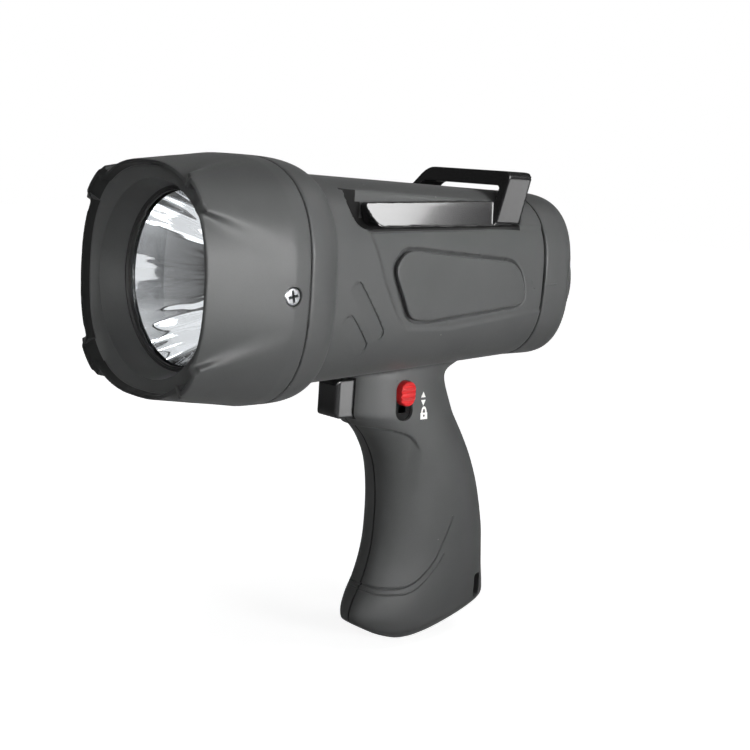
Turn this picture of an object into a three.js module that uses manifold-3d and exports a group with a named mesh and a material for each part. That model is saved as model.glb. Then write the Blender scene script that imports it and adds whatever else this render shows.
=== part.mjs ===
// Handheld searchlight: pistol grip, squared barrel, recessed reflector head,
// twist-off tail cap and a swing-up carrying bracket lying along the barrel.
// Millimetres, +Z up. The beam points along -Y. The origin is on the beam axis,
// at the centre of the flat rear face of the tail cap.
import * as THREE from "three";
import { ConvexGeometry } from "three/addons/geometries/ConvexGeometry.js";
import { mergeVertices } from "three/addons/utils/BufferGeometryUtils.js";
import Module from "manifold-3d";

const wasm = await Module();
wasm.setup();

// Overall size
const lightLength = 170; // lug tips to the rear face of the tail cap
const lightHeight = 165.3; // top of the head to the bottom of the grip

// Fits shared by all pieces
const clearance = 0.3; // air between two pieces that touch
const seamGap = 0.3; // air in the seam between two shells
const overrun = 3; // how far a cut runs past what it cuts
const faceRelief = 0.02; // a flat joint inside one solid overlaps by this much

// Section shapes: superellipse powers, 2 is an ellipse and more is squarer
const bodyPower = 2.73;
const rimPower = 2.47;
const gripPower = 2.35;
const roundPower = 2;
const bodySides = 40;
const roomSides = 24; // rooms inside, where no outside surface shows
const ringSides = 32;
const smallSides = 12;

// Head shell
const headSeamY = -137; // seam between the head and the body
const headHalfWidth = 38.4;
const headHalfHeight = 37.6;
const rimDrawSide = 3.2; // the ridges between the scoops draw in by this much at the rim
const rimDrawTop = 2.1;
const scoopSinkSide = 2.1; // the floor of a scoop lies this far inside the ridges
const scoopSinkTop = 1.2;
const scoopStartY = -142.6; // where the scoops run out
const scoopStartReach = 12.8; // half width of a scoop where it runs out
const scoopBendY = -163; // its edges turn outwards here, towards the lip
const scoopBendReach = 18.2;
const scoopRimReach = 23.2; // half width of a scoop at the rim
const lipDepth = 2.8; // the outer lip stands this far ahead of the bezel ring
const lipEdge = 1.1; // width of the lip's front edge
const lugReach = 0.6; // the lugs stand this far ahead of the lip
const lugTipWidth = 9;
const lugRootWidth = 10.6;
const bezelInset = 1.6; // outer edge of the bezel ring, inside the scoops
const bezelMargin = 0.7; // inner edge of the bezel ring, outside the lens
const bezelDish = 1.5;
const coneMargin = 1.2; // the cone ends this far inside the edge of the lens
const coneDepth = 8;
const headWall = 2.8;
const headFloor = 3; // wall behind the cone that the lens seals on
const lensTubeWall = 2.2;

// Optics
const lensMargin = 9; // from the edge of the lens to the outside of the head
const lensThickness = 2;
const gasketWidth = 2.5;
const gasketThickness = 1.3;
const reflectorMargin = 2.6; // width of the reflector's flange outside its bowl
const reflectorFocus = 5.5;
const reflectorHole = 4.4;
const reflectorWall = 0.8;
const reflectorFlange = 1.4;
const retainerLength = 2.6;
const retainerWidth = 1.25;
const emitterRadius = 2.6;
const emitterHeight = 4.2;
const emitterBase = 3.4;
const emitterBaseHeight = 0.9;
const ledBoardRadius = 11;
const ledBoardThickness = 1.6;
const sinkMargin = 3.6; // the heat sink is this much smaller than the lens
const sinkThickness = 3;
const sinkHubRadius = 12;
const sinkHubLength = 7;
const sinkFins = 10;
const finThickness = 1.4;
const finReach = 6;
const driverRadius = 16.5;
const driverThickness = 1.6;
const driverPartSize = 6;
const driverPartHeight = 3.4;
const standoffRadius = 1.8;
const standoffLength = 3.5;
const standoffCircle = 9.5;
const standoffs = 3;

// Body shells
const shellWall = 2.2;
const barrelFrontY = -122.6; // the barrel meets the shoulder here
const barrelFrontHalfWidth = 31.8;
const barrelFrontHalfHeight = 33.1;
const tailSeamY = -23.8; // seam between the body and the tail cap
const tailHalfWidth = 28.9;
const tailHalfHeight = 29.4;
const tailRise = 1.8; // the middle of the barrel climbs this much to the tail seam
const spigotLength = 12.5; // collar of the body inside the head
const spigotWall = 2.4;
const sinkSeatWidth = 3; // ledge inside the shells behind the heat sink
const bulkheadThickness = 2;
const wireHoleRadius = 3.5;
const bayonetRadius = 23.3;
const bayonetRing = 7.6;
const bayonetNotch = 2.4;
const bayonetNotchWidth = 9;

// Grip, from the axis down
const gripTopZ = -18;
const triggerTopZ = -33.2;
const gripHalfWidth = 15;
const gripFrontTop = -89; // front edge where the trigger stands
const gripFrontWaist = -70.1; // front edge at the finger waist
const gripRearTop = -46.2;
const gripRearHeel = -16.4;
const soleFrontY = -84; // the sole runs from here to the heel
const soleRearY = -12;
const soleRise = 16; // height over which the sole curves up at its ends
const soleCrown = 7; // height over which it curves up at its sides

// Side details
const padProud = 0.35;
const padDepth = 1.3;
const padGroove = 0.7;
const ribProud = 0.9;
const ribWidth = 5;
const ribSink = 1.4;
const ribHighY = -112.9; // upper end of the first rib
const ribHighZ = -0.5;
const ribLowY = -102.3;
const ribLowZ = -14;
const ribShortHighY = -115.1; // upper end of the second rib
const ribShortHighZ = -10.7;
const ribShortLowY = -107.8;
const ribShortLowZ = -18.4;
const padFrontY = -98.6;
const padRearY = -32.2;
const padBottomZ = -11.6;
const padTopZ = 12.6;
const padCorner = 6;

// Bracket and its seat in the shoulders of the barrel
const seatFloorX = 19.6;
const bracketPivotY = -100.6;
const bracketPivotZ = 22.2;
const armFrontY = -104.8;
const armLowY = -101.6;
const armBottomZ = 18.2;
const armRise = 2.4; // the lower edge climbs this much to its rear end
const armTopZ = 25.6;
const armOuterX = 27.8;
const armUpperX = 22.4;
const armInnerX = 20.6;
const legFootFrontY = -49.4;
const legFootRearY = -37.2;
const legTopFrontY = -35.4;
const legTopRearY = -23.6;
const legThickness = 3.2;
const barTopZ = 38.1;
const barHeight = 5;
const barHalfSpan = 20.2;
const seatMargin = 1;
const seatFrontY = -113.5;
const seatRearY = -33.6;
const pinRadius = 1.8;
const pinBite = 1.9;
const pinBossRadius = 4;
const pinBossLength = 6;
const pinBossFloor = 1.5;
const seatNose = 6; // the nose of the seat curves over this length
const seatCorner = 2;
const archCorner = 3.4;
const armCorner = 1.6;

// Trigger, switch and safety lock
const triggerWidth = 10;
const triggerHeight = 13;
const triggerReach = 6.6; // how far the finger pad stands out of the grip
const triggerTravel = 3.5;
const triggerSetback = 4.2; // from the front of the grip to the flange
const triggerFlange = 2;
const triggerFlangeWidth = 12;
const triggerTail = 5.8;
const triggerCorner = 2.6;
const springWire = 0.7;
const springRadius = 3;
const springTurns = 5;
const springSeat = 5.4; // depth of the ring-shaped seat in the trigger's tail
const springSeatWall = 1.2;
const plungerRadius = 1.7;
const plungerBite = 3;
const switchLength = 11;
const switchWidth = 10;
const switchHeight = 9;
const switchGap = 7.2; // trigger tail to switch at rest
const lockY = -71.7;
const lockZ = -37.6; // centre of the button, unlocked
const lockWidth = 6.6;
const lockHeight = 8.4;
const lockProud = 2.1;
const lockTravel = 5;
const lockPocketDepth = 1.1;
const lockNeckWidth = 3;
const lockNeckHeight = 3.4;
const lockFootThickness = 2.2;
const lockFootDrop = 4;
const lockRibs = 4;
const lockRibDepth = 0.45;

// Lanyard slot in the heel of the grip
const lanyardY = -27.4;
const lanyardRise = 15.7; // from the lowest point of the grip
const lanyardWidth = 4.6;
const lanyardHeight = 8.2;
const lanyardWall = 1.8;

// Batteries, four side by side in two pairs
const cellRadius = 7.15;
const cellGap = 0.7;
const cellLength = 49.2;
const cellNippleRadius = 2.7;
const cellNipple = 1.2;
const carrierEnd = 2.2;
const carrierGap = 0.5;
const contactSize = 9;
const contactThickness = 0.5;
const contactSpan = 8;
const contactHeightZ = 8;
const cradleShares = [0.22, 0.8];

// Tail cap
const capWall = 2.4;
const capEdge = 10; // length over which the cap rounds in to its flat face
const capFaceHalfWidth = 17.5;
const capFaceHalfHeight = 23.5;
const capSpigotWall = 2.2;
const capSpigotLength = 10.2;
const capOpenAngle = 35; // degrees of twist that free the cap
const capLugReach = 1.8;
const capLugWidth = 8;
const capLugLength = 1.8;
const sealWidth = 1.3;
const sealLength = 1.8;
const sealY = -26.3;
const capPostRadius = 6;
const capPostLength = 15;
const tailSpringRadius = 5;
const tailSpringTurns = 4;
const tailSpringWire = 1;

// Screws
const screwHeadRadius = 2.6;
const screwHeadHeight = 1.5;
const screwShankRadius = 1.25;
const screwLength = 15;
const crossWidth = 0.7;
const crossReach = 1.7;
const crossDepth = 0.9;
const bossRadius = 4.2;
const barrelScrewFrontY = -102;
const barrelScrewRearY = -54;
const barrelScrewZ = -24.2;
const barrelScrewSeat = 9;
const gripScrewY = -47;
const gripScrewHighZ = -60;
const gripScrewRise = 15.7; // lower grip screw, from the lowest point of the grip
const gripScrewSeat = 7;
const headScrewY = -143;
const headScrewZ = -1.1;
const headScrewLength = 7.4;
const headScrewSink = 0.5;
const headBossX = 28.6;

// Places and sizes worked out from the sizes above
const lugTipY = -lightLength;
const lipY = lugTipY + lugReach;
const bezelY = lipY + lipDepth;
const coneFrontY = bezelY + bezelDish;
const coneBackY = coneFrontY + coneDepth;
const gripBottomZ = headHalfHeight - lightHeight;
const lanyardZ = gripBottomZ + lanyardRise;
const gripScrewLowZ = gripBottomZ + gripScrewRise;
const rimHalfWidth = headHalfWidth - rimDrawSide;
const rimHalfHeight = headHalfHeight - rimDrawTop;
const scoopHalfWidth = rimHalfWidth - scoopSinkSide;
const scoopHalfHeight = rimHalfHeight - scoopSinkTop;
const bezelHalfWidth = scoopHalfWidth - bezelInset;
const bezelHalfHeight = scoopHalfHeight - bezelInset;
const lensRadius = Math.min(headHalfWidth, headHalfHeight) - lensMargin;
const bezelInnerRadius = lensRadius + bezelMargin;
const coneBackRadius = lensRadius - coneMargin;
const gasketInnerRadius = lensRadius - gasketWidth;
const reflectorRadius = lensRadius - reflectorMargin;
const sinkRadius = lensRadius - sinkMargin;
const headScrewSeatX = headHalfWidth - headScrewSink - screwHeadHeight;
const ribEnds = [
  [
    [ribHighY, ribHighZ],
    [ribLowY, ribLowZ],
  ],
  [
    [ribShortHighY, ribShortHighZ],
    [ribShortLowY, ribShortLowZ],
  ],
];

// Solids

function solid(geometry) {
  const plain = geometry.clone();
  plain.deleteAttribute("normal");
  plain.deleteAttribute("uv");
  const merged = mergeVertices(plain, 1e-4);
  const mesh = new wasm.Mesh({
    numProp: 3,
    vertProperties: Float32Array.from(merged.attributes.position.array),
    triVerts: Uint32Array.from(merged.index.array),
  });
  return new wasm.Manifold(mesh);
}

function geometryOf(manifold) {
  const mesh = manifold.getMesh();
  const geometry = new THREE.BufferGeometry();
  geometry.setAttribute("position", new THREE.BufferAttribute(mesh.vertProperties, mesh.numProp));
  geometry.setIndex(new THREE.BufferAttribute(mesh.triVerts, 1));
  const loose = geometry.toNonIndexed();
  loose.computeVertexNormals();
  return loose;
}

// Point of a superellipse at an angle, on half axes a and b.
function superPoint(angle, a, b, power) {
  const c = Math.cos(angle);
  const s = Math.sin(angle);
  const share = 2 / power;
  return [a * Math.sign(c) * Math.abs(c) ** share, b * Math.sign(s) * Math.abs(s) ** share];
}

// Loft along Y. Each station is { y, w, h, power, rise } and they run from rear to front.
function loftY(stations, sides) {
  const rows = stations.length - 1;
  const geometry = new THREE.CylinderGeometry(1, 1, 1, sides, rows);
  const position = geometry.attributes.position;
  for (let i = 0; i < position.count; i += 1) {
    const row = Math.round((0.5 - position.getY(i)) * rows);
    const station = stations[row];
    const x = position.getX(i);
    const z = position.getZ(i);
    if (Math.hypot(x, z) < 0.5) {
      position.setXYZ(i, 0, station.y, station.rise ?? 0);
    } else {
      const [px, pz] = superPoint(Math.atan2(z, x), station.w, station.h, station.power);
      position.setXYZ(i, px, station.y, pz + (station.rise ?? 0));
    }
  }
  return solid(geometry);
}

// Loft along Z. Each station is { z, front, rear, w } and they run from top to bottom.
function loftZ(stations, sides, power) {
  const rows = stations.length - 1;
  const geometry = new THREE.CylinderGeometry(1, 1, 1, sides, rows);
  const position = geometry.attributes.position;
  for (let i = 0; i < position.count; i += 1) {
    const row = Math.round((0.5 - position.getY(i)) * rows);
    const station = stations[row];
    const x = position.getX(i);
    const z = position.getZ(i);
    const middle = (station.front + station.rear) / 2;
    const reach = (station.rear - station.front) / 2;
    if (Math.hypot(x, z) < 0.5) {
      position.setXYZ(i, 0, middle, station.z);
    } else {
      const [px, py] = superPoint(Math.atan2(-z, x), station.w, reach, power);
      position.setXYZ(i, px, middle + py, station.z);
    }
  }
  return solid(geometry);
}

function boxBetween(x0, x1, y0, y1, z0, z1) {
  const geometry = new THREE.BoxGeometry(x1 - x0, y1 - y0, z1 - z0);
  geometry.translate((x0 + x1) / 2, (y0 + y1) / 2, (z0 + z1) / 2);
  return solid(geometry);
}

// Cylinder along Y between two places, round the beam axis unless moved.
function barrelY(radius, y0, y1, sides, x = 0, z = 0) {
  const geometry = new THREE.CylinderGeometry(radius, radius, y1 - y0, sides);
  geometry.translate(x, (y0 + y1) / 2, z);
  return solid(geometry);
}

// Cylinder along X between two places.
function barrelX(radius, x0, x1, y, z, sides = smallSides) {
  const geometry = new THREE.CylinderGeometry(radius, radius, x1 - x0, sides);
  geometry.rotateZ(Math.PI / 2);
  geometry.translate((x0 + x1) / 2, y, z);
  return solid(geometry);
}

// Closed profile of [radius, y] points turned round the beam axis.
function turned(points, sides) {
  const outline = points.map(([r, y]) => new THREE.Vector2(r, y));
  if (THREE.ShapeUtils.isClockWise(outline)) {
    outline.reverse();
  }
  return solid(new THREE.LatheGeometry([...outline, outline[0].clone()], sides));
}

// Outline of [y, z] points as a plate between two places along X.
function plateX(points, x0, x1) {
  const shape = new THREE.Shape(points.map(([y, z]) => new THREE.Vector2(y, z)));
  const geometry = new THREE.ExtrudeGeometry(shape, { depth: x1 - x0, bevelEnabled: false });
  geometry.rotateX(Math.PI / 2);
  geometry.rotateZ(Math.PI / 2);
  geometry.translate(x0, 0, 0);
  return solid(geometry);
}

// Outline of [x, z] points as a plate between two places along Y.
function plateY(points, y0, y1) {
  const shape = new THREE.Shape(points.map(([x, z]) => new THREE.Vector2(x, z)));
  const geometry = new THREE.ExtrudeGeometry(shape, { depth: y1 - y0, bevelEnabled: false });
  geometry.rotateX(Math.PI / 2);
  geometry.translate(0, y1, 0);
  return solid(geometry);
}

// Outline with its corners rounded, as points for a plate.
function rounded(points, radius, steps = 3) {
  const out = [];
  const count = points.length;
  for (let i = 0; i < count; i += 1) {
    const here = new THREE.Vector2(...points[i]);
    const back = new THREE.Vector2(...points[(i + count - 1) % count]).sub(here);
    const ahead = new THREE.Vector2(...points[(i + 1) % count]).sub(here);
    const reach = Math.min(radius, back.length() / 2.1, ahead.length() / 2.1);
    const start = here.clone().add(back.setLength(reach));
    const end = here.clone().add(ahead.setLength(reach));
    const curve = new THREE.QuadraticBezierCurve(start, here, end);
    curve.getPoints(steps).forEach((p) => out.push([p.x, p.y]));
  }
  return out;
}

// Rod that follows a path, closed at both ends.
function coil(radius, wire, turns, y0, y1, z) {
  const points = [];
  const stepsPerTurn = 8;
  const count = turns * stepsPerTurn;
  for (let i = 0; i <= count; i += 1) {
    const t = i / count;
    const angle = t * turns * 2 * Math.PI;
    const y = y0 + wire + (y1 - y0 - 2 * wire) * t;
    points.push(new THREE.Vector3(radius * Math.cos(angle), y, z + radius * Math.sin(angle)));
  }
  const path = new THREE.CatmullRomCurve3(points);
  const section = new THREE.Shape();
  section.absarc(0, 0, wire / 2, 0, 2 * Math.PI);
  const options = { steps: count, extrudePath: path, bevelEnabled: false, curveSegments: 5 };
  return solid(new THREE.ExtrudeGeometry(section, options));
}

function mirrored(manifold) {
  return manifold.mirror([1, 0, 0]);
}

// Outer forms

function between(a, b, share) {
  return a + (b - a) * share;
}

// Half width and half height of the barrel at a place along it.
function barrelAt(y, inset = 0) {
  const share = (y - barrelFrontY) / (tailSeamY - barrelFrontY);
  const w = between(barrelFrontHalfWidth, tailHalfWidth, share) - inset;
  const h = between(barrelFrontHalfHeight, tailHalfHeight, share) - inset;
  return { y, w, h, power: bodyPower, rise: tailRise * share };
}

// The shoulder swells from the barrel to the head seam in this many steps.
const shoulderShares = [
  [0, 0],
  [0.07, 0.32],
  [0.18, 0.58],
  [0.38, 0.83],
  [0.64, 0.96],
  [1, 1],
];

function bodyForm(inset, y0, y1, sides = bodySides) {
  const stations = [{ ...barrelAt(tailSeamY, inset), y: y1 }];
  const shoulderEndY = Math.max(y0, headSeamY);
  for (const [along, out] of shoulderShares) {
    stations.push({
      y: between(barrelFrontY, shoulderEndY, along),
      w: between(barrelFrontHalfWidth, headHalfWidth, out) - inset,
      h: between(barrelFrontHalfHeight, headHalfHeight, out) - inset,
      power: bodyPower,
    });
  }
  if (y0 < headSeamY) {
    stations.push({ ...stations[stations.length - 1], y: y0 });
  }
  return loftY(stations, sides);
}

// Half width, front and rear of the grip at a place down it, less an inset.
// Each row: share of the way down, front share, rear share, width share.
const gripShares = [
  [-0, 0, 0.242, 0.84],
  [0.097, 0, 0.242, 0.84],
  [0.109, 0, 0.121, 0.845],
  [0.129, 0, 0.047, 0.85],
  [0.164, 0, 0.054, 0.86],
  [0.21, 0, 0.121, 0.88],
  [0.254, 0.021, 0.195, 0.9],
  [0.269, 0.138, 0.221, 0.91],
  [0.307, 0.392, 0.309, 0.93],
  [0.345, 0.603, 0.396, 0.945],
  [0.418, 0.857, 0.55, 0.96],
  [0.517, 0.989, 0.711, 0.97],
  [0.647, 1, 0.849, 0.985],
  [0.729, 0.931, 0.893, 0.995],
  [0.802, 0.794, 0.926, 1.005],
  [0.857, 0.624, 0.966, 1.015],
  [0.907, 0.529, 0.993, 1.01],
  [0.948, 0.571, 1, 0.99],
  [1.003, 0.688, 1, 0.93],
  [1.03, 0.741, 1, 0.9],
];

function gripAt([down, front, rear, width], inset) {
  return {
    z: between(gripTopZ, gripBottomZ, down),
    front: between(gripFrontTop, gripFrontWaist, front) + inset,
    rear: between(gripRearTop, gripRearHeel, rear) - inset,
    w: gripHalfWidth * width - inset,
  };
}

// The sole of the grip as seen from the side: share from toe to heel, share of its rise.
const soleShares = [
  [-0.014, 0.981],
  [0.021, 0.7],
  [0.069, 0.494],
  [0.139, 0.294],
  [0.222, 0.119],
  [0.319, 0],
  [0.444, 0.025],
  [0.569, 0.131],
  [0.708, 0.306],
  [0.819, 0.519],
  [0.903, 0.756],
  [0.958, 1.044],
];

// Its crown from side to side: share of the half width, share of the crown.
const crownShares = [
  [0.36, 0],
  [0.6, 0.2],
  [0.8, 0.47],
  [1.02, 1],
];

function gripForm(inset, sides = ringSides) {
  const rows = gripShares.filter((row, i) => sides === ringSides || i % 2 === 1);
  const loft = loftZ(rows.map((row) => gripAt(row, inset)), sides, gripPower);
  const sole = soleShares.map(([along, up]) => [
    between(soleFrontY, soleRearY, along),
    gripBottomZ + soleRise * up + inset,
  ]);
  const points = [];
  for (const [aside, up] of crownShares) {
    for (const x of [-gripHalfWidth * aside, gripHalfWidth * aside]) {
      for (const [y, z] of sole) points.push(new THREE.Vector3(x, y, z + soleCrown * up));
      points.push(new THREE.Vector3(x, soleRearY + soleRise, gripTopZ));
      points.push(new THREE.Vector3(x, soleFrontY - soleRise, gripTopZ));
    }
  }
  return loft.intersect(solid(new ConvexGeometry(points)));
}

// Corner region of the head at the rim: everything outside the four scoops.
function scoopCuts() {
  const far = headHalfWidth * 2;
  const ahead = lugTipY - overrun;
  const spread = (scoopRimReach - scoopBendReach) / (scoopBendY - lipY);
  const reachAhead = scoopRimReach + spread * (lipY - ahead);
  const side = [
    [scoopStartY, -scoopStartReach],
    [scoopStartY, scoopStartReach],
    [scoopBendY, scoopBendReach],
    [ahead, reachAhead],
    [ahead, -reachAhead],
    [scoopBendY, -scoopBendReach],
  ];
  const across = plateX(side, -far, far);
  return across.add(across.rotate([0, 90, 0]));
}

function headRidge(inset, y1, y0) {
  return loftY(
    [
      { y: y1, w: headHalfWidth - inset, h: headHalfHeight - inset, power: bodyPower },
      { y: scoopStartY, w: headHalfWidth - inset, h: headHalfHeight - inset, power: bodyPower },
      { y: y0, w: rimHalfWidth - inset, h: rimHalfHeight - inset, power: bodyPower },
    ],
    bodySides,
  );
}

// Form of the head inside its ridges; the collar of the body follows it with a larger inset.
function headCore(inset, y1, y0) {
  const share = (y0 - scoopStartY) / (lipY - scoopStartY);
  return loftY(
    [
      { y: y1, w: headHalfWidth - inset, h: headHalfHeight - inset, power: bodyPower },
      { y: scoopStartY, w: headHalfWidth - inset, h: headHalfHeight - inset, power: bodyPower },
      {
        y: y0,
        w: between(headHalfWidth, scoopHalfWidth, share) - inset,
        h: between(headHalfHeight, scoopHalfHeight, share) - inset,
        power: between(bodyPower, rimPower, share),
      },
    ],
    bodySides,
  );
}

// Four lugs at the corners, wide at the root and narrow at the tip.
function lugMask(edge) {
  const root = lugRootWidth / 2 - edge;
  const tip = lugTipWidth / 2 - edge;
  const ahead = edge > 0 ? lugTipY - overrun : lugTipY;
  const outline = [
    [-root, bezelY],
    [root, bezelY],
    [root, lipY],
    [tip, lugTipY],
    [tip, ahead - faceRelief],
    [-tip, ahead - faceRelief],
    [-tip, lugTipY],
    [-root, lipY],
  ];
  const shape = new THREE.Shape(outline.map(([t, y]) => new THREE.Vector2(t, y)));
  const reach = headHalfWidth * 2;
  const options = { depth: reach, bevelEnabled: false };
  const lug = solid(new THREE.ExtrudeGeometry(shape, options));
  let mask = lug.rotate([0, 45, 0]);
  for (const turn of [135, 225, 315]) {
    mask = mask.add(lug.rotate([0, turn, 0]));
  }
  return mask;
}

// Screw along X: pan head with a cross recess, its bearing face at x = 0, shank towards -X.
function screwX(length) {
  let screw = barrelX(screwHeadRadius, 0, screwHeadHeight, 0, 0);
  screw = screw.add(barrelX(screwShankRadius, -length, faceRelief, 0, 0, 10));
  const top = screwHeadHeight + overrun;
  const floor = screwHeadHeight - crossDepth;
  const slot = boxBetween(floor, top, -crossReach, crossReach, -crossWidth / 2, crossWidth / 2);
  return screw.subtract(slot).subtract(slot.rotate([90, 0, 0]));
}

// Head shell
const lensTubeRadius = lensRadius + clearance;
const sealFloorY = coneBackY;
const gasketFrontY = sealFloorY;
const lensFrontY = gasketFrontY + gasketThickness + clearance;
const lensBackY = lensFrontY + lensThickness;
const flangeFrontY = lensBackY + clearance;
const flangeBackY = flangeFrontY + reflectorFlange;
const retainerFrontY = flangeBackY + clearance;
const retainerBackY = retainerFrontY + retainerLength;
const headFloorY = coneBackY - headFloor;

function makeHead() {
  const front = lipY;
  let outer = headCore(0, headSeamY, front);
  outer = outer.add(headRidge(0, headSeamY, front).subtract(scoopCuts()));
  const ridgeAhead = loftY(
    [
      { y: bezelY, w: rimHalfWidth, h: rimHalfHeight, power: bodyPower },
      { y: lugTipY, w: rimHalfWidth, h: rimHalfHeight, power: bodyPower },
    ],
    bodySides,
  );
  outer = outer.add(ridgeAhead.intersect(lugMask(0)));
  const bezel = [
    { y: coneFrontY, w: bezelInnerRadius, h: bezelInnerRadius, power: roundPower },
    { y: bezelY, w: bezelHalfWidth, h: bezelHalfHeight, power: rimPower },
  ];
  const flare = (y, halfWidth, halfHeight, power) => ({
    y,
    w: halfWidth - lipEdge,
    h: halfHeight - lipEdge,
    power,
  });
  const scoopMouth = [scoopHalfWidth, scoopHalfHeight, rimPower];
  const lugMouth = [rimHalfWidth, rimHalfHeight, bodyPower];
  const ahead = lugTipY - overrun;
  const cup = loftY([...bezel, flare(lipY, ...scoopMouth), flare(ahead, ...scoopMouth)], bodySides);
  const lugCup = loftY([...bezel, flare(lipY, ...lugMouth), flare(ahead, ...lugMouth)], bodySides);
  const bezelCup = cup.add(lugCup.intersect(lugMask(lipEdge)));
  const slope = (bezelInnerRadius - coneBackRadius) / coneDepth;
  const cone = turned(
    [
      [0, coneBackY + faceRelief],
      [coneBackRadius, coneBackY + faceRelief],
      [bezelInnerRadius + slope * faceRelief, coneFrontY - faceRelief],
      [0, coneFrontY - faceRelief],
    ],
    bodySides,
  );
  const tubeEndY = retainerBackY + clearance;
  let inner = headCore(headWall, headSeamY + overrun, headFloorY);
  const tubeOuter = barrelY(lensTubeRadius + lensTubeWall, headFloorY - headWall, tubeEndY, bodySides);
  inner = inner.subtract(tubeOuter);
  const bore = barrelY(lensTubeRadius, sealFloorY, tubeEndY + overrun, bodySides);
  let head = outer.subtract(bezelCup).subtract(cone).subtract(inner).subtract(bore);
  for (const side of [1, -1]) {
    const deep = barrelX(screwHeadRadius + clearance, 0, overrun * 3, 0, 0).translate([
      headScrewSeatX,
      headScrewY,
      headScrewZ,
    ]);
    const hole = barrelX(screwShankRadius + clearance, -overrun * 3, overrun, 0, 0).translate([
      headScrewSeatX,
      headScrewY,
      headScrewZ,
    ]);
    const cut = deep.add(hole);
    head = head.subtract(side > 0 ? cut : mirrored(cut));
  }
  return head;
}

// Optics along the beam axis
const reflectorDepth = (reflectorRadius ** 2 - reflectorHole ** 2) / (4 * reflectorFocus);
const reflectorBackY = flangeFrontY + reflectorDepth;
const ledBoardFrontY = reflectorBackY + clearance;
const sinkFrontY = ledBoardFrontY + ledBoardThickness + clearance;
const sinkBackY = sinkFrontY + sinkThickness;
const sinkHubBackY = sinkBackY + sinkHubLength;
const driverFrontY = sinkHubBackY + standoffLength + clearance;

// Body shells
const spigotFrontY = headSeamY - spigotLength;
const spigotInset = headWall + clearance;
const bodyFrontY = headSeamY + seamGap;
const sinkSeatFrontY = sinkBackY + clearance;
const bayonetFrontY = tailSeamY - bayonetRing;
const capSpigotEndY = tailSeamY - capSpigotLength;
const carrierRearY = capSpigotEndY - clearance;
const cellPitch = cellRadius + cellGap / 2;
const carrierHalf = cellPitch + cellRadius;
const carrierLength = cellLength + cellNipple + (carrierEnd + carrierGap) * 2;
const carrierFrontY = carrierRearY - carrierLength;
const bulkheadRearY = carrierFrontY - contactThickness - clearance * 2;

// Surface of the grip, as a distance from its middle plane, at a height and place.
function gripSurfaceX(y, z, inset) {
  const down = (z - gripTopZ) / (gripBottomZ - gripTopZ);
  const above = gripShares.findLastIndex((row) => row[0] <= down);
  const a = gripShares[above];
  const b = gripShares[above + 1];
  const share = (down - a[0]) / (b[0] - a[0]);
  const row = gripAt(a.map((value, i) => between(value, b[i], share)), inset);
  const off = (y - (row.front + row.rear) / 2) / ((row.rear - row.front) / 2);
  return row.w * (1 - Math.abs(off) ** gripPower) ** (1 / gripPower);
}

// Bracket seat: the side outline of the notch in each shoulder of the barrel.
const seatLedgeZ = armBottomZ - seatMargin;
const seatHighZ = barTopZ + seatMargin;

function seatOutline(grow) {
  return [
    [seatFrontY + seatNose * 1.5 - grow, seatHighZ],
    [seatFrontY - grow, armTopZ - grow],
    [seatFrontY + seatNose * 0.15 - grow, bracketPivotZ - seatNose * 0.5 - grow],
    [seatFrontY + seatNose - grow * 0.5, seatLedgeZ - grow],
    [seatRearY - seatNose * 0.5 + grow * 0.5, seatLedgeZ + armRise - grow],
    [seatRearY + grow, seatLedgeZ + armRise + seatNose * 0.5 - grow],
    [seatRearY + grow, seatHighZ],
  ];
}

// Convex outline drawn in by a distance.
function drawnIn(points, distance) {
  const count = points.length;
  const lines = points.map((point, i) => {
    const a = new THREE.Vector2(...point);
    const b = new THREE.Vector2(...points[(i + 1) % count]);
    const along = b.clone().sub(a).normalize();
    const normal = new THREE.Vector2(-along.y, along.x);
    return { at: a.add(normal.multiplyScalar(distance)), along };
  });
  return lines.map((line, i) => {
    const last = lines[(i + count - 1) % count];
    const gap = line.at.clone().sub(last.at);
    const cross = last.along.x * line.along.y - last.along.y * line.along.x;
    const t = (gap.x * line.along.y - gap.y * line.along.x) / cross;
    return [last.at.x + last.along.x * t, last.at.y + last.along.y * t];
  });
}

// Side pad: shares of its length from the rear and of its height from the bottom.
const padShares = [
  [0.13, 0.05],
  [0.24, 0],
  [1, 0.2],
  [0.945, 0.66],
  [0.87, 0.84],
  [0.09, 1],
  [0, 0.74],
];

function padOutline(inward) {
  const corners = padShares.map(([along, up]) => [
    between(padFrontY, padRearY, along),
    between(padBottomZ, padTopZ, up),
  ]);
  return rounded(drawnIn(corners, inward), padCorner - inward);
}

// Capsule between two places seen from the side.
function capsule([y0, z0], [y1, z1], width) {
  const angle = Math.atan2(z1 - z0, y1 - y0);
  const out = [];
  const steps = 8;
  for (let i = 0; i <= steps; i += 1) {
    const turn = angle + Math.PI / 2 + (Math.PI * i) / steps;
    out.push([y0 + (width / 2) * Math.cos(turn), z0 + (width / 2) * Math.sin(turn)]);
  }
  for (let i = 0; i <= steps; i += 1) {
    const turn = angle - Math.PI / 2 + (Math.PI * i) / steps;
    out.push([y1 + (width / 2) * Math.cos(turn), z1 + (width / 2) * Math.sin(turn)]);
  }
  return out;
}

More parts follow.
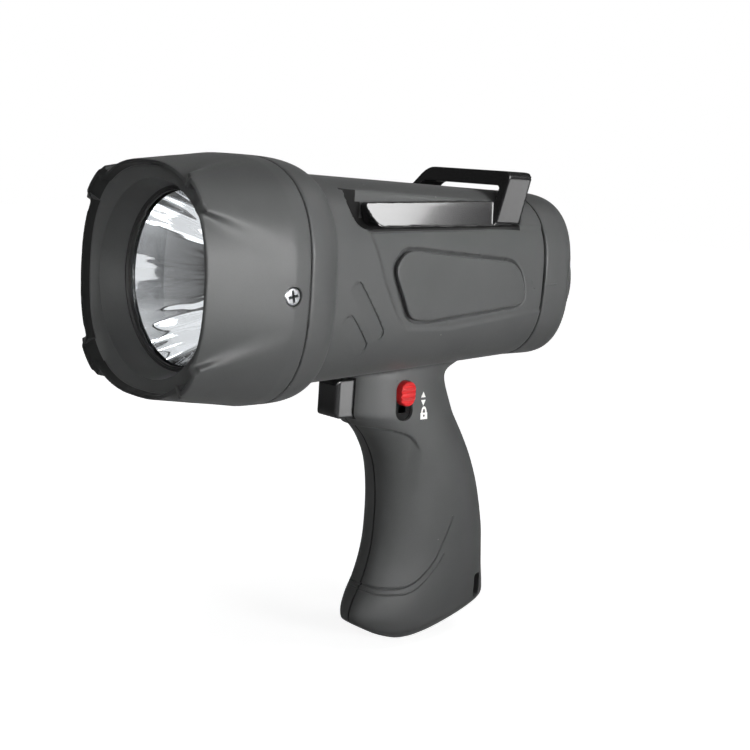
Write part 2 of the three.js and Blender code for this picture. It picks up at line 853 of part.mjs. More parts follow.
const wide = headHalfWidth * 2;
const triggerBottomZ = triggerTopZ - triggerHeight;
const triggerFrontY = gripFrontTop - triggerReach;
const flangeFaceY = gripFrontTop + triggerSetback;
const tailBackY = flangeFaceY + triggerFlange + triggerTail;
const switchFrontY = tailBackY + switchGap;
const springSeatY = tailBackY - springSeat;
const switchZ = between(triggerTopZ, triggerBottomZ, 0.5);
const lockFaceX = gripSurfaceX(lockY, lockZ, 0);
const lockFloorX = lockFaceX - lockPocketDepth;
const lockFootFrontY = lockY - lockNeckWidth;
const lockInnerX = gripSurfaceX(lockFootFrontY, lockZ, shellWall) - clearance * 2;
const lockFootX = switchWidth / 2 + clearance;
const gripCavityTopZ = triggerTopZ + clearance;

// Screw places on the hidden side: y, z and how deep the head sits from the middle plane.
const shellScrews = [
  [barrelScrewFrontY, barrelScrewZ, barrelScrewSeat],
  [barrelScrewRearY, barrelScrewZ, barrelScrewSeat],
  [gripScrewY, gripScrewHighZ, gripScrewSeat],
  [gripScrewY, gripScrewLowZ, gripScrewSeat],
];

// Everything that stands inside the two shells, drawn larger than the room it stands in.
function innerWalls() {
  const slab = (y0, y1) => boxBetween(-wide, wide, y0, y1, -wide, wide);
  const ledge = slab(sinkSeatFrontY, sinkSeatFrontY + bulkheadThickness).subtract(
    barrelY(sinkRadius - sinkSeatWidth, sinkSeatFrontY - overrun, sinkSeatFrontY + overrun, ringSides),
  );
  const sinkCup = slab(sinkFrontY, sinkSeatFrontY + faceRelief).subtract(
    barrelY(sinkRadius + clearance, sinkFrontY - overrun, sinkSeatFrontY + faceRelief, ringSides),
  );
  const bulkheadFrontY = bulkheadRearY - bulkheadThickness;
  const bulkhead = slab(bulkheadFrontY, bulkheadRearY).subtract(
    barrelY(wireHoleRadius, bulkheadFrontY - overrun, bulkheadRearY + overrun, smallSides),
  );
  let walls = ledge.add(sinkCup).add(bulkhead);

  // Ring that the tail cap twists into, with its two entry notches
  const notch = boxBetween(
    -bayonetNotchWidth / 2,
    bayonetNotchWidth / 2,
    bayonetFrontY - overrun,
    tailSeamY + overrun * 2,
    -bayonetRadius - bayonetNotch,
    bayonetRadius + bayonetNotch,
  );
  const bayonet = slab(bayonetFrontY, tailSeamY + overrun)
    .subtract(barrelY(bayonetRadius, bayonetFrontY - overrun, tailSeamY + overrun * 2, ringSides))
    .subtract(notch.rotate([0, capOpenAngle, 0]));
  walls = walls.add(bayonet);

  // Cradle round the battery carrier
  const hold = carrierHalf + clearance;
  for (const share of cradleShares) {
    const y = between(carrierFrontY, carrierRearY, share);
    const half = bulkheadThickness / 2;
    const frame = slab(y - half, y + half);
    walls = walls.add(frame.subtract(boxBetween(-hold, hold, y - overrun, y + overrun, -hold, hold)));
  }

  // Bosses for the shell screws, head screws and bracket pins
  for (const [y, z] of shellScrews) {
    walls = walls.add(barrelX(bossRadius, -wide, wide, y, z));
  }
  for (const side of [1, -1]) {
    const headBoss = barrelX(bossRadius, headBossX, wide, headScrewY, headScrewZ);
    const pinBossX = seatFloorX - pinBossLength;
    const pinBoss = barrelX(pinBossRadius, pinBossX, seatFloorX, bracketPivotY, bracketPivotZ);
    const seatBlock = plateX(seatOutline(shellWall), seatFloorX - shellWall, wide);
    const cheek = boxBetween(
      switchWidth / 2 + clearance,
      gripHalfWidth,
      between(switchFrontY, switchFrontY + switchLength, 0.25),
      between(switchFrontY, switchFrontY + switchLength, 0.75),
      switchZ - switchHeight / 2,
      switchZ + switchHeight / 2,
    );
    const all = headBoss.add(pinBoss).add(seatBlock).add(cheek);
    walls = walls.add(side > 0 ? all : mirrored(all));
  }

  // Walls of the lanyard slot
  const eyeHalfY = lanyardWidth / 2 + lanyardWall;
  const eyeHalfZ = lanyardHeight / 2 + lanyardWall;
  return walls.add(
    boxBetween(
      -wide,
      wide,
      lanyardY - eyeHalfY,
      lanyardY + eyeHalfY,
      lanyardZ - eyeHalfZ,
      lanyardZ + eyeHalfZ,
    ),
  );
}

function makeBody() {
  const collarBackY = between(barrelFrontY, headSeamY, 0.5);
  const collar = headCore(spigotInset, collarBackY, spigotFrontY);
  let body = bodyForm(0, bodyFrontY, tailSeamY).add(gripForm(0)).add(collar);

  // Ribs on the flanks
  const past = tailSeamY + overrun;
  const ribSkin = bodyForm(-ribProud, bodyFrontY, tailSeamY).subtract(
    bodyForm(ribSink, headSeamY - overrun, past, roomSides),
  );
  for (const [from, to] of ribEnds) {
    const rib = plateX(capsule(from, to, ribWidth), 0, wide).intersect(ribSkin);
    body = body.add(rib).add(mirrored(rib));
  }

  // Rooms inside
  const barrelRoom = bodyForm(shellWall, bodyFrontY + spigotWall, past, roomSides);
  const collarRoom = headCore(spigotInset + spigotWall, collarBackY, spigotFrontY - overrun);
  const above = boxBetween(-wide, wide, lugTipY, 0, gripCavityTopZ, wide);
  const gripRoom = gripForm(shellWall, roomSides).subtract(above);
  body = body.subtract(barrelRoom.add(collarRoom).add(gripRoom).subtract(innerWalls()));

  // Cuts from outside, the same on both sides
  const padRoom = plateX(padOutline(0), 0, wide).subtract(
    bodyForm(padDepth, headSeamY - overrun, past, roomSides),
  );
  const seat = plateX(rounded(seatOutline(0), seatCorner), seatFloorX, wide);
  const pinBore = barrelX(
    pinRadius + clearance,
    seatFloorX - pinBossLength + pinBossFloor,
    seatFloorX + overrun,
    bracketPivotY,
    bracketPivotZ,
  );
  const headPilot = barrelX(
    screwShankRadius + clearance,
    headScrewSeatX - headScrewLength - clearance,
    wide,
    headScrewY,
    headScrewZ,
    10,
  );
  const sideCuts = padRoom.add(seat).add(pinBore).add(headPilot);
  body = body.subtract(sideCuts).subtract(mirrored(sideCuts));
  for (const [y, z, seatDepth] of shellScrews) {
    const well = barrelX(screwHeadRadius + clearance, -wide, -seatDepth, y, z);
    const pilotEnd = screwLength - seatDepth + clearance;
    const pilot = barrelX(screwShankRadius + clearance, -seatDepth - overrun, pilotEnd, y, z, 10);
    body = body.subtract(well).subtract(pilot);
  }
  body = body.subtract(
    boxBetween(
      -wide,
      wide,
      lanyardY - lanyardWidth / 2,
      lanyardY + lanyardWidth / 2,
      lanyardZ - lanyardHeight / 2,
      lanyardZ + lanyardHeight / 2,
    ),
  );

  // Trigger mouth, the room behind it, and the wire hole up into the barrel
  const mouth = triggerWidth / 2 + clearance;
  const mouthTop = triggerTopZ + clearance;
  const mouthBottom = triggerBottomZ - clearance;
  const mouthCut = boxBetween(-mouth, mouth, triggerFrontY, flangeFaceY, mouthBottom, mouthTop);
  const flangeRoom = triggerFlangeWidth / 2 + clearance;
  const roomCut = boxBetween(
    -flangeRoom,
    flangeRoom,
    flangeFaceY - clearance,
    switchFrontY,
    mouthBottom - faceRelief,
    mouthTop + faceRelief,
  );
  const wireCut = boxBetween(
    -wireHoleRadius,
    wireHoleRadius,
    switchFrontY,
    switchFrontY + wireHoleRadius * 2,
    gripCavityTopZ - overrun,
    shellWall + overrun - tailHalfHeight,
  );
  body = body.subtract(mouthCut).subtract(roomCut).subtract(wireCut);

  // Lock pocket and slot, on the near side only
  const pocket = boxBetween(
    lockFloorX,
    wide,
    lockY - lockWidth / 2 - clearance,
    lockY + lockWidth / 2 + clearance,
    lockZ - lockTravel - lockHeight / 2 - clearance,
    lockZ + lockHeight / 2 + clearance,
  );
  const slot = boxBetween(
    lockFootX,
    wide,
    lockY - lockNeckWidth / 2 - clearance,
    lockY + lockNeckWidth / 2 + clearance,
    lockZ - lockTravel - lockNeckHeight / 2 - clearance,
    lockZ + lockNeckHeight / 2 + clearance,
  );
  const footRoom = boxBetween(
    lockFootX - clearance,
    lockInnerX + clearance,
    lockFootFrontY - clearance,
    lockY + lockNeckWidth + clearance,
    lockZ - lockTravel - lockFootDrop - clearance,
    lockZ + lockNeckHeight / 2 + lockFootThickness,
  );
  return body.subtract(pocket).subtract(slot).subtract(footRoom);
}

function halfBody(body, side) {
  const y0 = lugTipY;
  const x0 = seamGap / 2;
  const keep = boxBetween(x0, wide, y0, 0, gripBottomZ - overrun, wide);
  return body.intersect(side > 0 ? keep : mirrored(keep));
}

function makePad() {
  const skin = bodyForm(-padProud, bodyFrontY, tailSeamY);
  const under = bodyForm(padDepth - clearance, spigotFrontY, tailSeamY + overrun, roomSides);
  return plateX(padOutline(padGroove), 0, wide).intersect(skin).subtract(under);
}

// Bracket: two arms in the seats, two leaning legs and a bar across the top.
function makeBracket() {
  const legLean = (armOuterX - barHalfSpan) / (barTopZ - armBottomZ);
  const footZ = armBottomZ - barHeight * 2;
  const footX = barHalfSpan + legLean * (barTopZ - footZ);
  const inside = legThickness * Math.hypot(1, legLean);
  const underZ = barTopZ - barHeight;
  const outerArch = [
    [footX, footZ],
    [barHalfSpan, barTopZ],
    [-barHalfSpan, barTopZ],
    [-footX, footZ],
  ];
  const innerTopX = barHalfSpan + legLean * barHeight - inside;
  const innerArch = [
    [footX - inside + legLean * overrun, footZ - overrun],
    [innerTopX, underZ],
    [-innerTopX, underZ],
    [-footX + inside - legLean * overrun, footZ - overrun],
  ];
  const y0 = armFrontY - overrun;
  const arch = plateY(rounded(outerArch, archCorner), y0, 0).subtract(
    plateY(rounded(innerArch, archCorner / 2), y0 - overrun, overrun),
  );
  const rearZ = armBottomZ + armRise;
  const legSide = [
    [legFootFrontY, rearZ],
    [legFootRearY, rearZ],
    [legTopRearY, seatHighZ],
    [legTopFrontY, seatHighZ],
  ];
  let bracket = arch.intersect(plateX(legSide, -wide, wide));
  const armSection = [
    [armOuterX, footZ],
    [armOuterX, armBottomZ],
    [armUpperX, armTopZ],
    [armInnerX, armTopZ + armRise],
    [armInnerX, footZ],
  ];
  const armSide = [
    [armFrontY, armTopZ],
    [between(armFrontY, armLowY, 0.25), between(armTopZ, armBottomZ, 0.62)],
    [armLowY, armBottomZ],
    [legFootRearY - legThickness, rearZ - armRise * 0.25],
    [legFootRearY, rearZ + legThickness * 0.5],
    [legFootRearY, armTopZ + armRise],
    [between(legFootRearY, armFrontY, 0.1), armTopZ + armRise],
  ];
  const arm = plateY(armSection, y0, 0).intersect(plateX(rounded(armSide, armCorner), 0, wide));
  bracket = bracket.add(arm).add(mirrored(arm));
  const bore = barrelX(
    pinRadius + clearance,
    armInnerX - overrun,
    armInnerX + pinBite + clearance,
    bracketPivotY,
    bracketPivotZ,
  );
  return bracket.subtract(bore).subtract(mirrored(bore));
}

function makePin() {
  const start = seatFloorX - pinBossLength + pinBossFloor + clearance;
  return barrelX(pinRadius, start, armInnerX + pinBite, bracketPivotY, bracketPivotZ);
}

// Trigger: finger pad, flange that keeps it in, and the tail that its spring bears on.
function makeTrigger() {
  const pad = [
    [triggerFrontY, triggerTopZ],
    [triggerFrontY + triggerReach * 0.08, between(triggerTopZ, triggerBottomZ, 0.5)],
    [triggerFrontY + triggerReach * 0.02, triggerBottomZ],
    [flangeFaceY + faceRelief, triggerBottomZ],
    [flangeFaceY + faceRelief, triggerTopZ],
  ];
  let trigger = plateX(rounded(pad, triggerCorner), -triggerWidth / 2, triggerWidth / 2);
  const backY = flangeFaceY + triggerFlange;
  const flangeHalf = triggerFlangeWidth / 2;
  trigger = trigger.add(
    boxBetween(-flangeHalf, flangeHalf, flangeFaceY, backY, triggerBottomZ, triggerTopZ),
  );
  const joinY = between(triggerFrontY, flangeFaceY, 0.5);
  const inside = triggerWidth / 2;
  trigger = trigger.add(
    boxBetween(-inside, inside, joinY, backY, triggerBottomZ, triggerTopZ),
  );
  const tailHalf = springRadius + springWire + springSeatWall;
  trigger = trigger.add(
    boxBetween(
      -tailHalf,
      tailHalf,
      backY - faceRelief,
      tailBackY,
      triggerBottomZ + triggerFlange,
      triggerTopZ - triggerFlange,
    ),
  );
  // The spring dips into a ring-shaped seat, deep enough for the travel. The post left in its
  // middle presses the plunger.
  const wireRoom = springWire / 2 + clearance;
  const seat = barrelY(
    springRadius + wireRoom,
    springSeatY,
    tailBackY + overrun,
    smallSides,
    0,
    switchZ,
  );
  const post = barrelY(
    springRadius - wireRoom,
    springSeatY - overrun,
    tailBackY + 2 * overrun,
    smallSides,
    0,
    switchZ,
  );
  return trigger.subtract(seat.subtract(post));
}

function makeSwitch() {
  const y1 = switchFrontY + switchLength;
  const halfW = switchWidth / 2;
  const halfH = switchHeight / 2;
  const body = boxBetween(-halfW, halfW, switchFrontY, y1, switchZ - halfH, switchZ + halfH);
  const boreEnd = switchFrontY + plungerBite + triggerTravel + clearance;
  return body.subtract(
    barrelY(plungerRadius + clearance, switchFrontY - overrun, boreEnd, smallSides, 0, switchZ),
  );
}

function makeLockButton() {
  const x0 = lockFloorX + clearance;
  const x1 = lockFaceX + lockProud;
  const top = lockHeight / 2;
  const halfW = lockWidth / 2;
  const face = [
    [lockY - halfW, lockZ - top],
    [lockY + halfW, lockZ - top],
    [lockY + halfW, lockZ + top],
    [lockY - halfW, lockZ + top],
  ];
  let button = plateX(rounded(face, lockWidth * 0.3), x0, x1);
  const pitch = lockHeight / (lockRibs + 1);
  for (let i = 1; i <= lockRibs; i += 1) {
    const z = lockZ - top + pitch * i;
    button = button.subtract(
      boxBetween(x1 - lockRibDepth, x1 + overrun, lockY - wide, lockY + wide, z - pitch * 0.22, z + pitch * 0.22),
    );
  }
  const neckY = lockNeckWidth / 2;
  const neckZ = lockNeckHeight / 2;
  return button.add(
    boxBetween(lockFootX, x0 + faceRelief, lockY - neckY, lockY + neckY, lockZ - neckZ, lockZ + neckZ),
  );
}

function makeLockFoot() {
  const rearY = lockY + lockNeckWidth;
  const plate = boxBetween(
    lockFootX,
    lockInnerX,
    lockFootFrontY,
    rearY,
    lockZ - lockFootDrop,
    lockZ + lockNeckHeight / 2 + lockFootThickness / 2,
  );
  const neckY = lockNeckWidth / 2 + clearance;
  const neckZ = lockNeckHeight / 2 + clearance;
  return plate.subtract(boxBetween(-wide, wide, lockY - neckY, lockY + neckY, lockZ - neckZ, lockZ + neckZ));
}

// Reflector: a paraboloid with its flange, open at the back for the light source.
function makeReflector() {
  const points = [];
  const steps = 8;
  const place = (r) => reflectorBackY - (r ** 2 - reflectorHole ** 2) / (4 * reflectorFocus);
  for (let i = 0; i <= steps; i += 1) {
    const r = between(reflectorRadius, reflectorHole, i / steps);
    points.push([r, place(r)]);
  }
  const outer = [];
  for (let i = 0; i <= steps; i += 1) {
    const r = between(reflectorHole, reflectorRadius, i / steps);
    outer.push([r + reflectorWall, Math.max(place(r), flangeBackY)]);
  }
  const lip = [
    [lensRadius, flangeBackY],
    [lensRadius, flangeFrontY],
  ];
  const kept = outer.filter(([, y], i) => i === 0 || y > flangeBackY);
  const neck = [reflectorRadius + reflectorWall, flangeBackY];
  return turned([...points, ...kept, neck, ...lip], ringSides);
}

function makeEmitter() {
  const y1 = ledBoardFrontY - clearance;
  const dome = [];
  const steps = 5;
  const neckY = y1 - emitterBaseHeight;
  for (let i = 0; i <= steps; i += 1) {
    const angle = (Math.PI / 2) * (i / steps);
    const reach = emitterHeight - emitterBaseHeight;
    dome.push([emitterRadius * Math.cos(angle), neckY - reach * Math.sin(angle)]);
  }
  dome[steps][0] = 0;
  return turned([[0, y1], [emitterBase, y1], [emitterBase, neckY], ...dome], smallSides);
}

function makeSink() {
  let sink = barrelY(sinkRadius, sinkFrontY, sinkBackY, ringSides);
  sink = sink.add(barrelY(sinkHubRadius, sinkBackY - faceRelief, sinkHubBackY, ringSides / 2));
  const half = finThickness / 2;
  const reach = sinkHubRadius + finReach;
  const fin = boxBetween(0, reach, sinkBackY - faceRelief, sinkHubBackY - finThickness, -half, half);
  for (let i = 0; i < sinkFins; i += 1) {
    sink = sink.add(fin.rotate([0, (360 / sinkFins) * i, 0]));
  }
  for (let i = 0; i < standoffs; i += 1) {
    const angle = (2 * Math.PI * i) / standoffs;
    const x = standoffCircle * Math.cos(angle);
    const z = standoffCircle * Math.sin(angle);
    const post = barrelY(standoffRadius, sinkHubBackY - faceRelief, sinkHubBackY + standoffLength, 10, x, z);
    sink = sink.add(post);
  }
  return sink;
}

function makeDriver() {
  const backY = driverFrontY + driverThickness;
  let board = barrelY(driverRadius, driverFrontY, backY, ringSides / 2);
  const half = driverPartSize / 2;
  const tall = backY + driverPartHeight;
  board = board.add(boxBetween(-half * 3, -half, backY - faceRelief, tall, -half, half));
  const can = barrelY(half, backY - faceRelief, tall + driverPartHeight / 2, smallSides, half * 2, half);
  return board.add(can);
}

function makeCarrier() {
  const rodReach = Math.SQRT2 * cellPitch - cellRadius - clearance;
  const h = carrierHalf;
  const frontEnd = boxBetween(-h, h, carrierFrontY, carrierFrontY + carrierEnd, -h, h);
  const rearEnd = boxBetween(-h, h, carrierRearY - carrierEnd, carrierRearY, -h, h);
  const rod = barrelY(rodReach, carrierFrontY + faceRelief, carrierRearY - faceRelief, smallSides);
  return frontEnd.add(rearEnd).add(rod);
}

// Cell with its button end towards the front or the rear.
function makeCell(x, z, forward) {
  const y0 = carrierFrontY + carrierEnd + carrierGap;
  const y1 = y0 + cellLength + cellNipple;
  const bodyStart = forward ? y0 + cellNipple : y0;
  const bodyEnd = bodyStart + cellLength;
  const body = barrelY(cellRadius, bodyStart, bodyEnd, 24, x, z);
  const nippleStart = forward ? y0 : bodyEnd - faceRelief;
  const nippleEnd = forward ? bodyStart + faceRelief : y1;
  return body.add(barrelY(cellNippleRadius, nippleStart, nippleEnd, smallSides, x, z));
}

function makeContact(x) {
  const half = contactSize / 2;
  const y1 = carrierFrontY - clearance;
  return boxBetween(x - half, x + half, y1 - contactThickness, y1, contactHeightZ - half, contactHeightZ + half);
}

// Tail cap: share of the rounded edge, shares of the swell in width and in height.
const capShares = [
  [0, 0, 0],
  [0.07, 0.11, 0.3],
  [0.22, 0.27, 0.56],
  [0.5, 0.54, 0.82],
  [1, 0.94, 0.97],
];

function capForm(inset, y1) {
  const stations = capShares.map(([along, wide, high]) => ({
    y: -capEdge * along,
    w: between(capFaceHalfWidth, tailHalfWidth, wide) - inset,
    h: between(capFaceHalfHeight, tailHalfHeight, high) - inset,
    power: between(rimPower, bodyPower, along),
    rise: tailRise * high,
  }));
  const seam = { w: tailHalfWidth - inset, h: tailHalfHeight - inset, power: bodyPower };
  stations.push({ ...seam, y: y1, rise: tailRise });
  return loftY(stations, bodySides);
}

function makeCap() {
  const capFrontY = tailSeamY + seamGap;
  const insideY = -capWall;
  const ahead = capFrontY - overrun;
  const cavity = capForm(capWall, ahead).subtract(boxBetween(-wide, wide, insideY, overrun, -wide, wide));
  let cap = capForm(0, capFrontY).subtract(cavity);
  const spigotOuter = bayonetRadius - clearance;
  const spigot = turned(
    [
      [spigotOuter - capSpigotWall, insideY + faceRelief],
      [spigotOuter - capSpigotWall, capSpigotEndY],
      [spigotOuter, capSpigotEndY],
      [spigotOuter, insideY + faceRelief],
    ],
    ringSides,
  );
  cap = cap.add(spigot);
  cap = cap.add(barrelY(capPostRadius, insideY - capPostLength, insideY + faceRelief, smallSides));
  const lugBack = bayonetFrontY - clearance;
  const lugs = boxBetween(
    -capLugWidth / 2,
    capLugWidth / 2,
    lugBack - capLugLength,
    lugBack,
    -spigotOuter - capLugReach,
    spigotOuter + capLugReach,
  ).subtract(barrelY(spigotOuter - capSpigotWall / 2, lugBack - wide, 0, ringSides));
  cap = cap.add(lugs);
  const grooveY = sealY - sealLength / 2 - clearance;
  const groove = turned(
    [
      [spigotOuter - sealWidth - clearance, grooveY],
      [spigotOuter - sealWidth - clearance, grooveY + sealLength + clearance * 2],
      [spigotOuter + overrun, grooveY + sealLength + clearance * 2],
      [spigotOuter + overrun, grooveY],
    ],
    ringSides,
  );
  return cap.subtract(groove);
}

function makeSeal() {
  const outer = bayonetRadius - clearance;
  return turned(
    [
      [outer - sealWidth, sealY - sealLength / 2],
      [outer - sealWidth, sealY + sealLength / 2],
      [outer, sealY + sealLength / 2],
      [outer, sealY - sealLength / 2],
    ],
    ringSides,
  );
}

function ring(outer, inner, y0, y1) {
  return turned([[inner, y0], [inner, y1], [outer, y1], [outer, y0]], ringSides);
}

// The assembly

const light = new THREE.Group();
light.name = "handheld_searchlight";

function finish(color, roughness, metalness = 0) {
  return new THREE.MeshStandardMaterial({ color, roughness, metalness });
}

const softTouch = () => finish(0x4a4b4b, 0.62);
const glossBlack = () => finish(0x1b1b1c, 0.18);
const blackRubber = () => finish(0x101010, 0.8);
const plainSteel = () => finish(0xb9bbbd, 0.35, 1);

function part(name, manifold, material) {
  const mesh = new THREE.Mesh(geometryOf(manifold), material);
  mesh.name = name;
  light.add(mesh);
}

const body = makeBody();
part("shell_left", halfBody(body, 1), softTouch());
part("shell_right", halfBody(body, -1), softTouch());
part("head_shell", makeHead(), softTouch());
const pad = makePad();
part("side_pad_left", pad, softTouch());
part("side_pad_right", mirrored(pad), softTouch());

// Optics and electronics
const gasketY = [gasketFrontY + clearance, gasketFrontY + gasketThickness];
part("lens_gasket", ring(lensRadius, gasketInnerRadius, ...gasketY), blackRubber());
part("lens", barrelY(lensRadius, lensFrontY, lensBackY, ringSides), finish(0xf4f8fa, 0.03));
part("reflector", makeReflector(), finish(0xe6e8ea, 0.05, 1));
const retainerInner = lensRadius - retainerWidth;
part("lens_retainer", ring(lensRadius, retainerInner, retainerFrontY, retainerBackY), glossBlack());
part("led_emitter", makeEmitter(), finish(0xe9d44a, 0.3));
const ledBoardBackY = ledBoardFrontY + ledBoardThickness;
part("led_board", barrelY(ledBoardRadius, ledBoardFrontY, ledBoardBackY, 24), finish(0xe8e8e4, 0.5));
part("heat_sink", makeSink(), finish(0xb4b6b8, 0.45, 1));
part("driver_board", makeDriver(), finish(0x1f5a34, 0.5));

// Screws
for (const [name, side] of [["head_screw_left", 1], ["head_screw_right", -1]]) {
  const screw = screwX(headScrewLength).translate([headScrewSeatX + clearance, headScrewY, headScrewZ]);
  part(name, side > 0 ? screw : mirrored(screw), plainSteel());
}
shellScrews.forEach(([y, z, seatDepth], i) => {
  const screw = mirrored(screwX(screwLength)).translate([-seatDepth - clearance, y, z]);
  part(`shell_screw_${i + 1}`, screw, plainSteel());
});

// Power
part("battery_carrier", makeCarrier(), finish(0x222222, 0.5));
[[1, 1], [-1, 1], [-1, -1], [1, -1]].forEach(([sx, sz], i) => {
  const cell = makeCell(sx * cellPitch, sz * cellPitch, i % 2 === 0);
  part(`battery_${i + 1}`, cell, finish(0x2d5f8f, 0.35, 0.4));
});
part("front_contact_pos", makeContact(contactSpan), finish(0xc8a24a, 0.3, 1));
part("front_contact_neg", makeContact(-contactSpan), finish(0xc8a24a, 0.3, 1));

// Tail cap
part("tail_cap", makeCap(), softTouch());
part("tail_seal", makeSeal(), blackRubber());
const postEndY = -capWall - capPostLength;
const tailSpring = coil(
  tailSpringRadius,
  tailSpringWire,
  tailSpringTurns,
  carrierRearY + clearance,
  postEndY - clearance,
  0,
);
part("tail_spring", tailSpring, plainSteel());

// Trigger, switch and lock
part("trigger", makeTrigger(), glossBlack());
part("switch_body", makeSwitch(), finish(0x202020, 0.5));
const plungerEnd = switchFrontY + plungerBite;
const plunger = barrelY(plungerRadius, tailBackY + clearance, plungerEnd, smallSides, 0, switchZ);
part("switch_plunger", plunger, finish(0xdedede, 0.4));
const triggerSpring = coil(
  springRadius,
  springWire,
  springTurns,
  springSeatY + triggerTravel + clearance,
  switchFrontY - clearance,
  switchZ,
);
part("trigger_spring", triggerSpring, plainSteel());
part("lock_button", makeLockButton(), finish(0xc8181c, 0.35));
part("lock_foot", makeLockFoot(), glossBlack());

// Bracket
part("bracket", makeBracket(), glossBlack());
part("bracket_pin_left", makePin(), plainSteel());
part("bracket_pin_right", mirrored(makePin()), plainSteel());

export default light;
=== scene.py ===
# %% [markdown]
# # A handheld searchlight, dressed for a studio picture
# The object is a pistol-grip searchlight: two soft-touch body halves, a recessed reflector
# head, a twist-off tail cap and a glossy carrying bracket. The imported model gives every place
# and size, so this lesson makes finer pieces that stand where its solids are.

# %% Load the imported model
from math import copysign, cos, pi, radians, sin, sqrt

import bmesh
import bpy
from mathutils import Matrix, Vector


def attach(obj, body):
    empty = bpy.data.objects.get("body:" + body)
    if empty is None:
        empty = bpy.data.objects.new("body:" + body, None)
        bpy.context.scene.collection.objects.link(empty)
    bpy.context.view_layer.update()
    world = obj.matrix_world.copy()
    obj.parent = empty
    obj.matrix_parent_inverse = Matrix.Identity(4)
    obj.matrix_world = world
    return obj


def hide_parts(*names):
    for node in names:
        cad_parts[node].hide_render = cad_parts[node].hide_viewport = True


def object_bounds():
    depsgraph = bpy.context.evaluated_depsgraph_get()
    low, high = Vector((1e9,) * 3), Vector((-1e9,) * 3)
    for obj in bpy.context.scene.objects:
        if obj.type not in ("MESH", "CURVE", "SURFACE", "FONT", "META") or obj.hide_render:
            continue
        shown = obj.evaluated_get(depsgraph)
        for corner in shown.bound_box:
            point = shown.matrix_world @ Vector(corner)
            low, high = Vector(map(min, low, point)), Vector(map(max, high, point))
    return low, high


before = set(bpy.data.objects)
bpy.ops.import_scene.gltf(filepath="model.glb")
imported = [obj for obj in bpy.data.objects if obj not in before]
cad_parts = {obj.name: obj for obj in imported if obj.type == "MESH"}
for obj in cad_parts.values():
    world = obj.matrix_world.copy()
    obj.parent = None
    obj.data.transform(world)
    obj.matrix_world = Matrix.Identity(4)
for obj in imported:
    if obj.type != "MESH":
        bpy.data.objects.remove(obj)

cad_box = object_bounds()
print("nodes:", len(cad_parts), "CAD box:", cad_box)

# %% [markdown]
# The camera comes first, because every later choice is judged through it. Its bearing, height
# and distance come from the object's known sizes, and it leans a little, as the real one did.

# %% Camera
MM = 0.001
scene = bpy.context.scene

AZIMUTH, ELEVATION, ROLL = radians(46.88), radians(8.87), radians(3.92)
TARGET = Vector((0, -74.11, -33.33)) * MM
DISTANCE = 450.6 * MM

back = Vector((sin(AZIMUTH) * cos(ELEVATION), -cos(AZIMUTH) * cos(ELEVATION), sin(ELEVATION)))
level_right = (-back).cross(Vector((0, 0, 1))).normalized()
level_up = level_right.cross(-back)
right = cos(ROLL) * level_right + sin(ROLL) * level_up
up = -sin(ROLL) * level_right + cos(ROLL) * level_up

camera_data = bpy.data.cameras.new("camera")
camera_data.sensor_width = 36
camera_data.lens = 63.545
camera = bpy.data.objects.new("camera", camera_data)
turn = Matrix((right, up, back)).transposed().to_4x4()
camera.matrix_world = Matrix.Translation(TARGET + back * DISTANCE) @ turn
scene.collection.objects.link(camera)
scene.camera = camera
print("camera stands at", [round(c, 3) for c in camera.matrix_world.translation])

# %% [markdown]
# A material is a small network of nodes. One function adds a node with its settings and its
# links, and short ones on top of it name the kinds that come back all the time. Hex colours
# are turned to linear light, and a real grain size to the scale of a noise pattern.

# %% Node helper, colour and pattern scale
def add(tree, kind, sockets=None, **settings):
    node = tree.nodes.new("ShaderNode" + kind)
    for name, value in settings.items():
        setattr(node, name, value)
    for key, value in (sockets or {}).items():
        if isinstance(key, int):
            socket = node.inputs[key]
        else:
            socket = next(s for s in node.inputs if key in (s.identifier, s.name))
        if isinstance(value, bpy.types.NodeSocket):
            tree.links.new(value, socket)
        else:
            socket.default_value = value
    return node


def calc(tree, operation, *values):
    return add(tree, "Math", dict(enumerate(values)), operation=operation).outputs[0]


def vector(tree, operation, *values):
    return add(tree, "VectorMath", dict(enumerate(values)), operation=operation).outputs


def ramp(tree, value, start, end, low, high):
    """Map a value from one range to another, and hold it at the ends."""
    sockets = {"Value": value, 1: start, 2: end, 3: low, 4: high}
    return add(tree, "MapRange", sockets).outputs[0]


def noise(tree, place, scale, detail):
    sockets = {"Vector": place, "Scale": scale, "Detail": detail}
    return add(tree, "TexNoise", sockets).outputs[0]


def blend(tree, share, first, second):
    colours = {"Factor_Float": share, "A_Color": first, "B_Color": second}
    return add(tree, "Mix", colours, data_type="RGBA").outputs[2]


def bump(tree, height, strength, depth_mm, **under):
    sockets = {"Height": height, "Strength": strength, "Distance": depth_mm * MM}
    return add(tree, "Bump", sockets | under).outputs[0]


def object_place(tree):
    return add(tree, "TexCoord").outputs["Object"]


def xyz(tree, place):
    return add(tree, "SeparateXYZ", {0: place}).outputs


def across_beam(tree, place):
    """The way from the beam axis to a place."""
    return vector(tree, "MULTIPLY", place, (1.0, 0.0, 1.0))[0]


def surface(tree, look):
    shader = add(tree, "BsdfPrincipled", look)
    add(tree, "OutputMaterial", {"Surface": shader.outputs[0]})


def linear(hex_colour):
    parts = [int(hex_colour[i : i + 2], 16) / 255 for i in (1, 3, 5)]
    parts = [c / 12.92 if c <= 0.04045 else ((c + 0.055) / 1.055) ** 2.4 for c in parts]
    return *parts, 1.0


def per(size_mm):
    return 1 / (size_mm * MM)


def blank(name, kind=bpy.data.materials):
    made = kind.new(name)
    made.use_nodes = True
    made.node_tree.nodes.clear()
    return made, made.node_tree


print("mid grey #808080 is", round(linear("#808080")[0], 3), "in linear light")

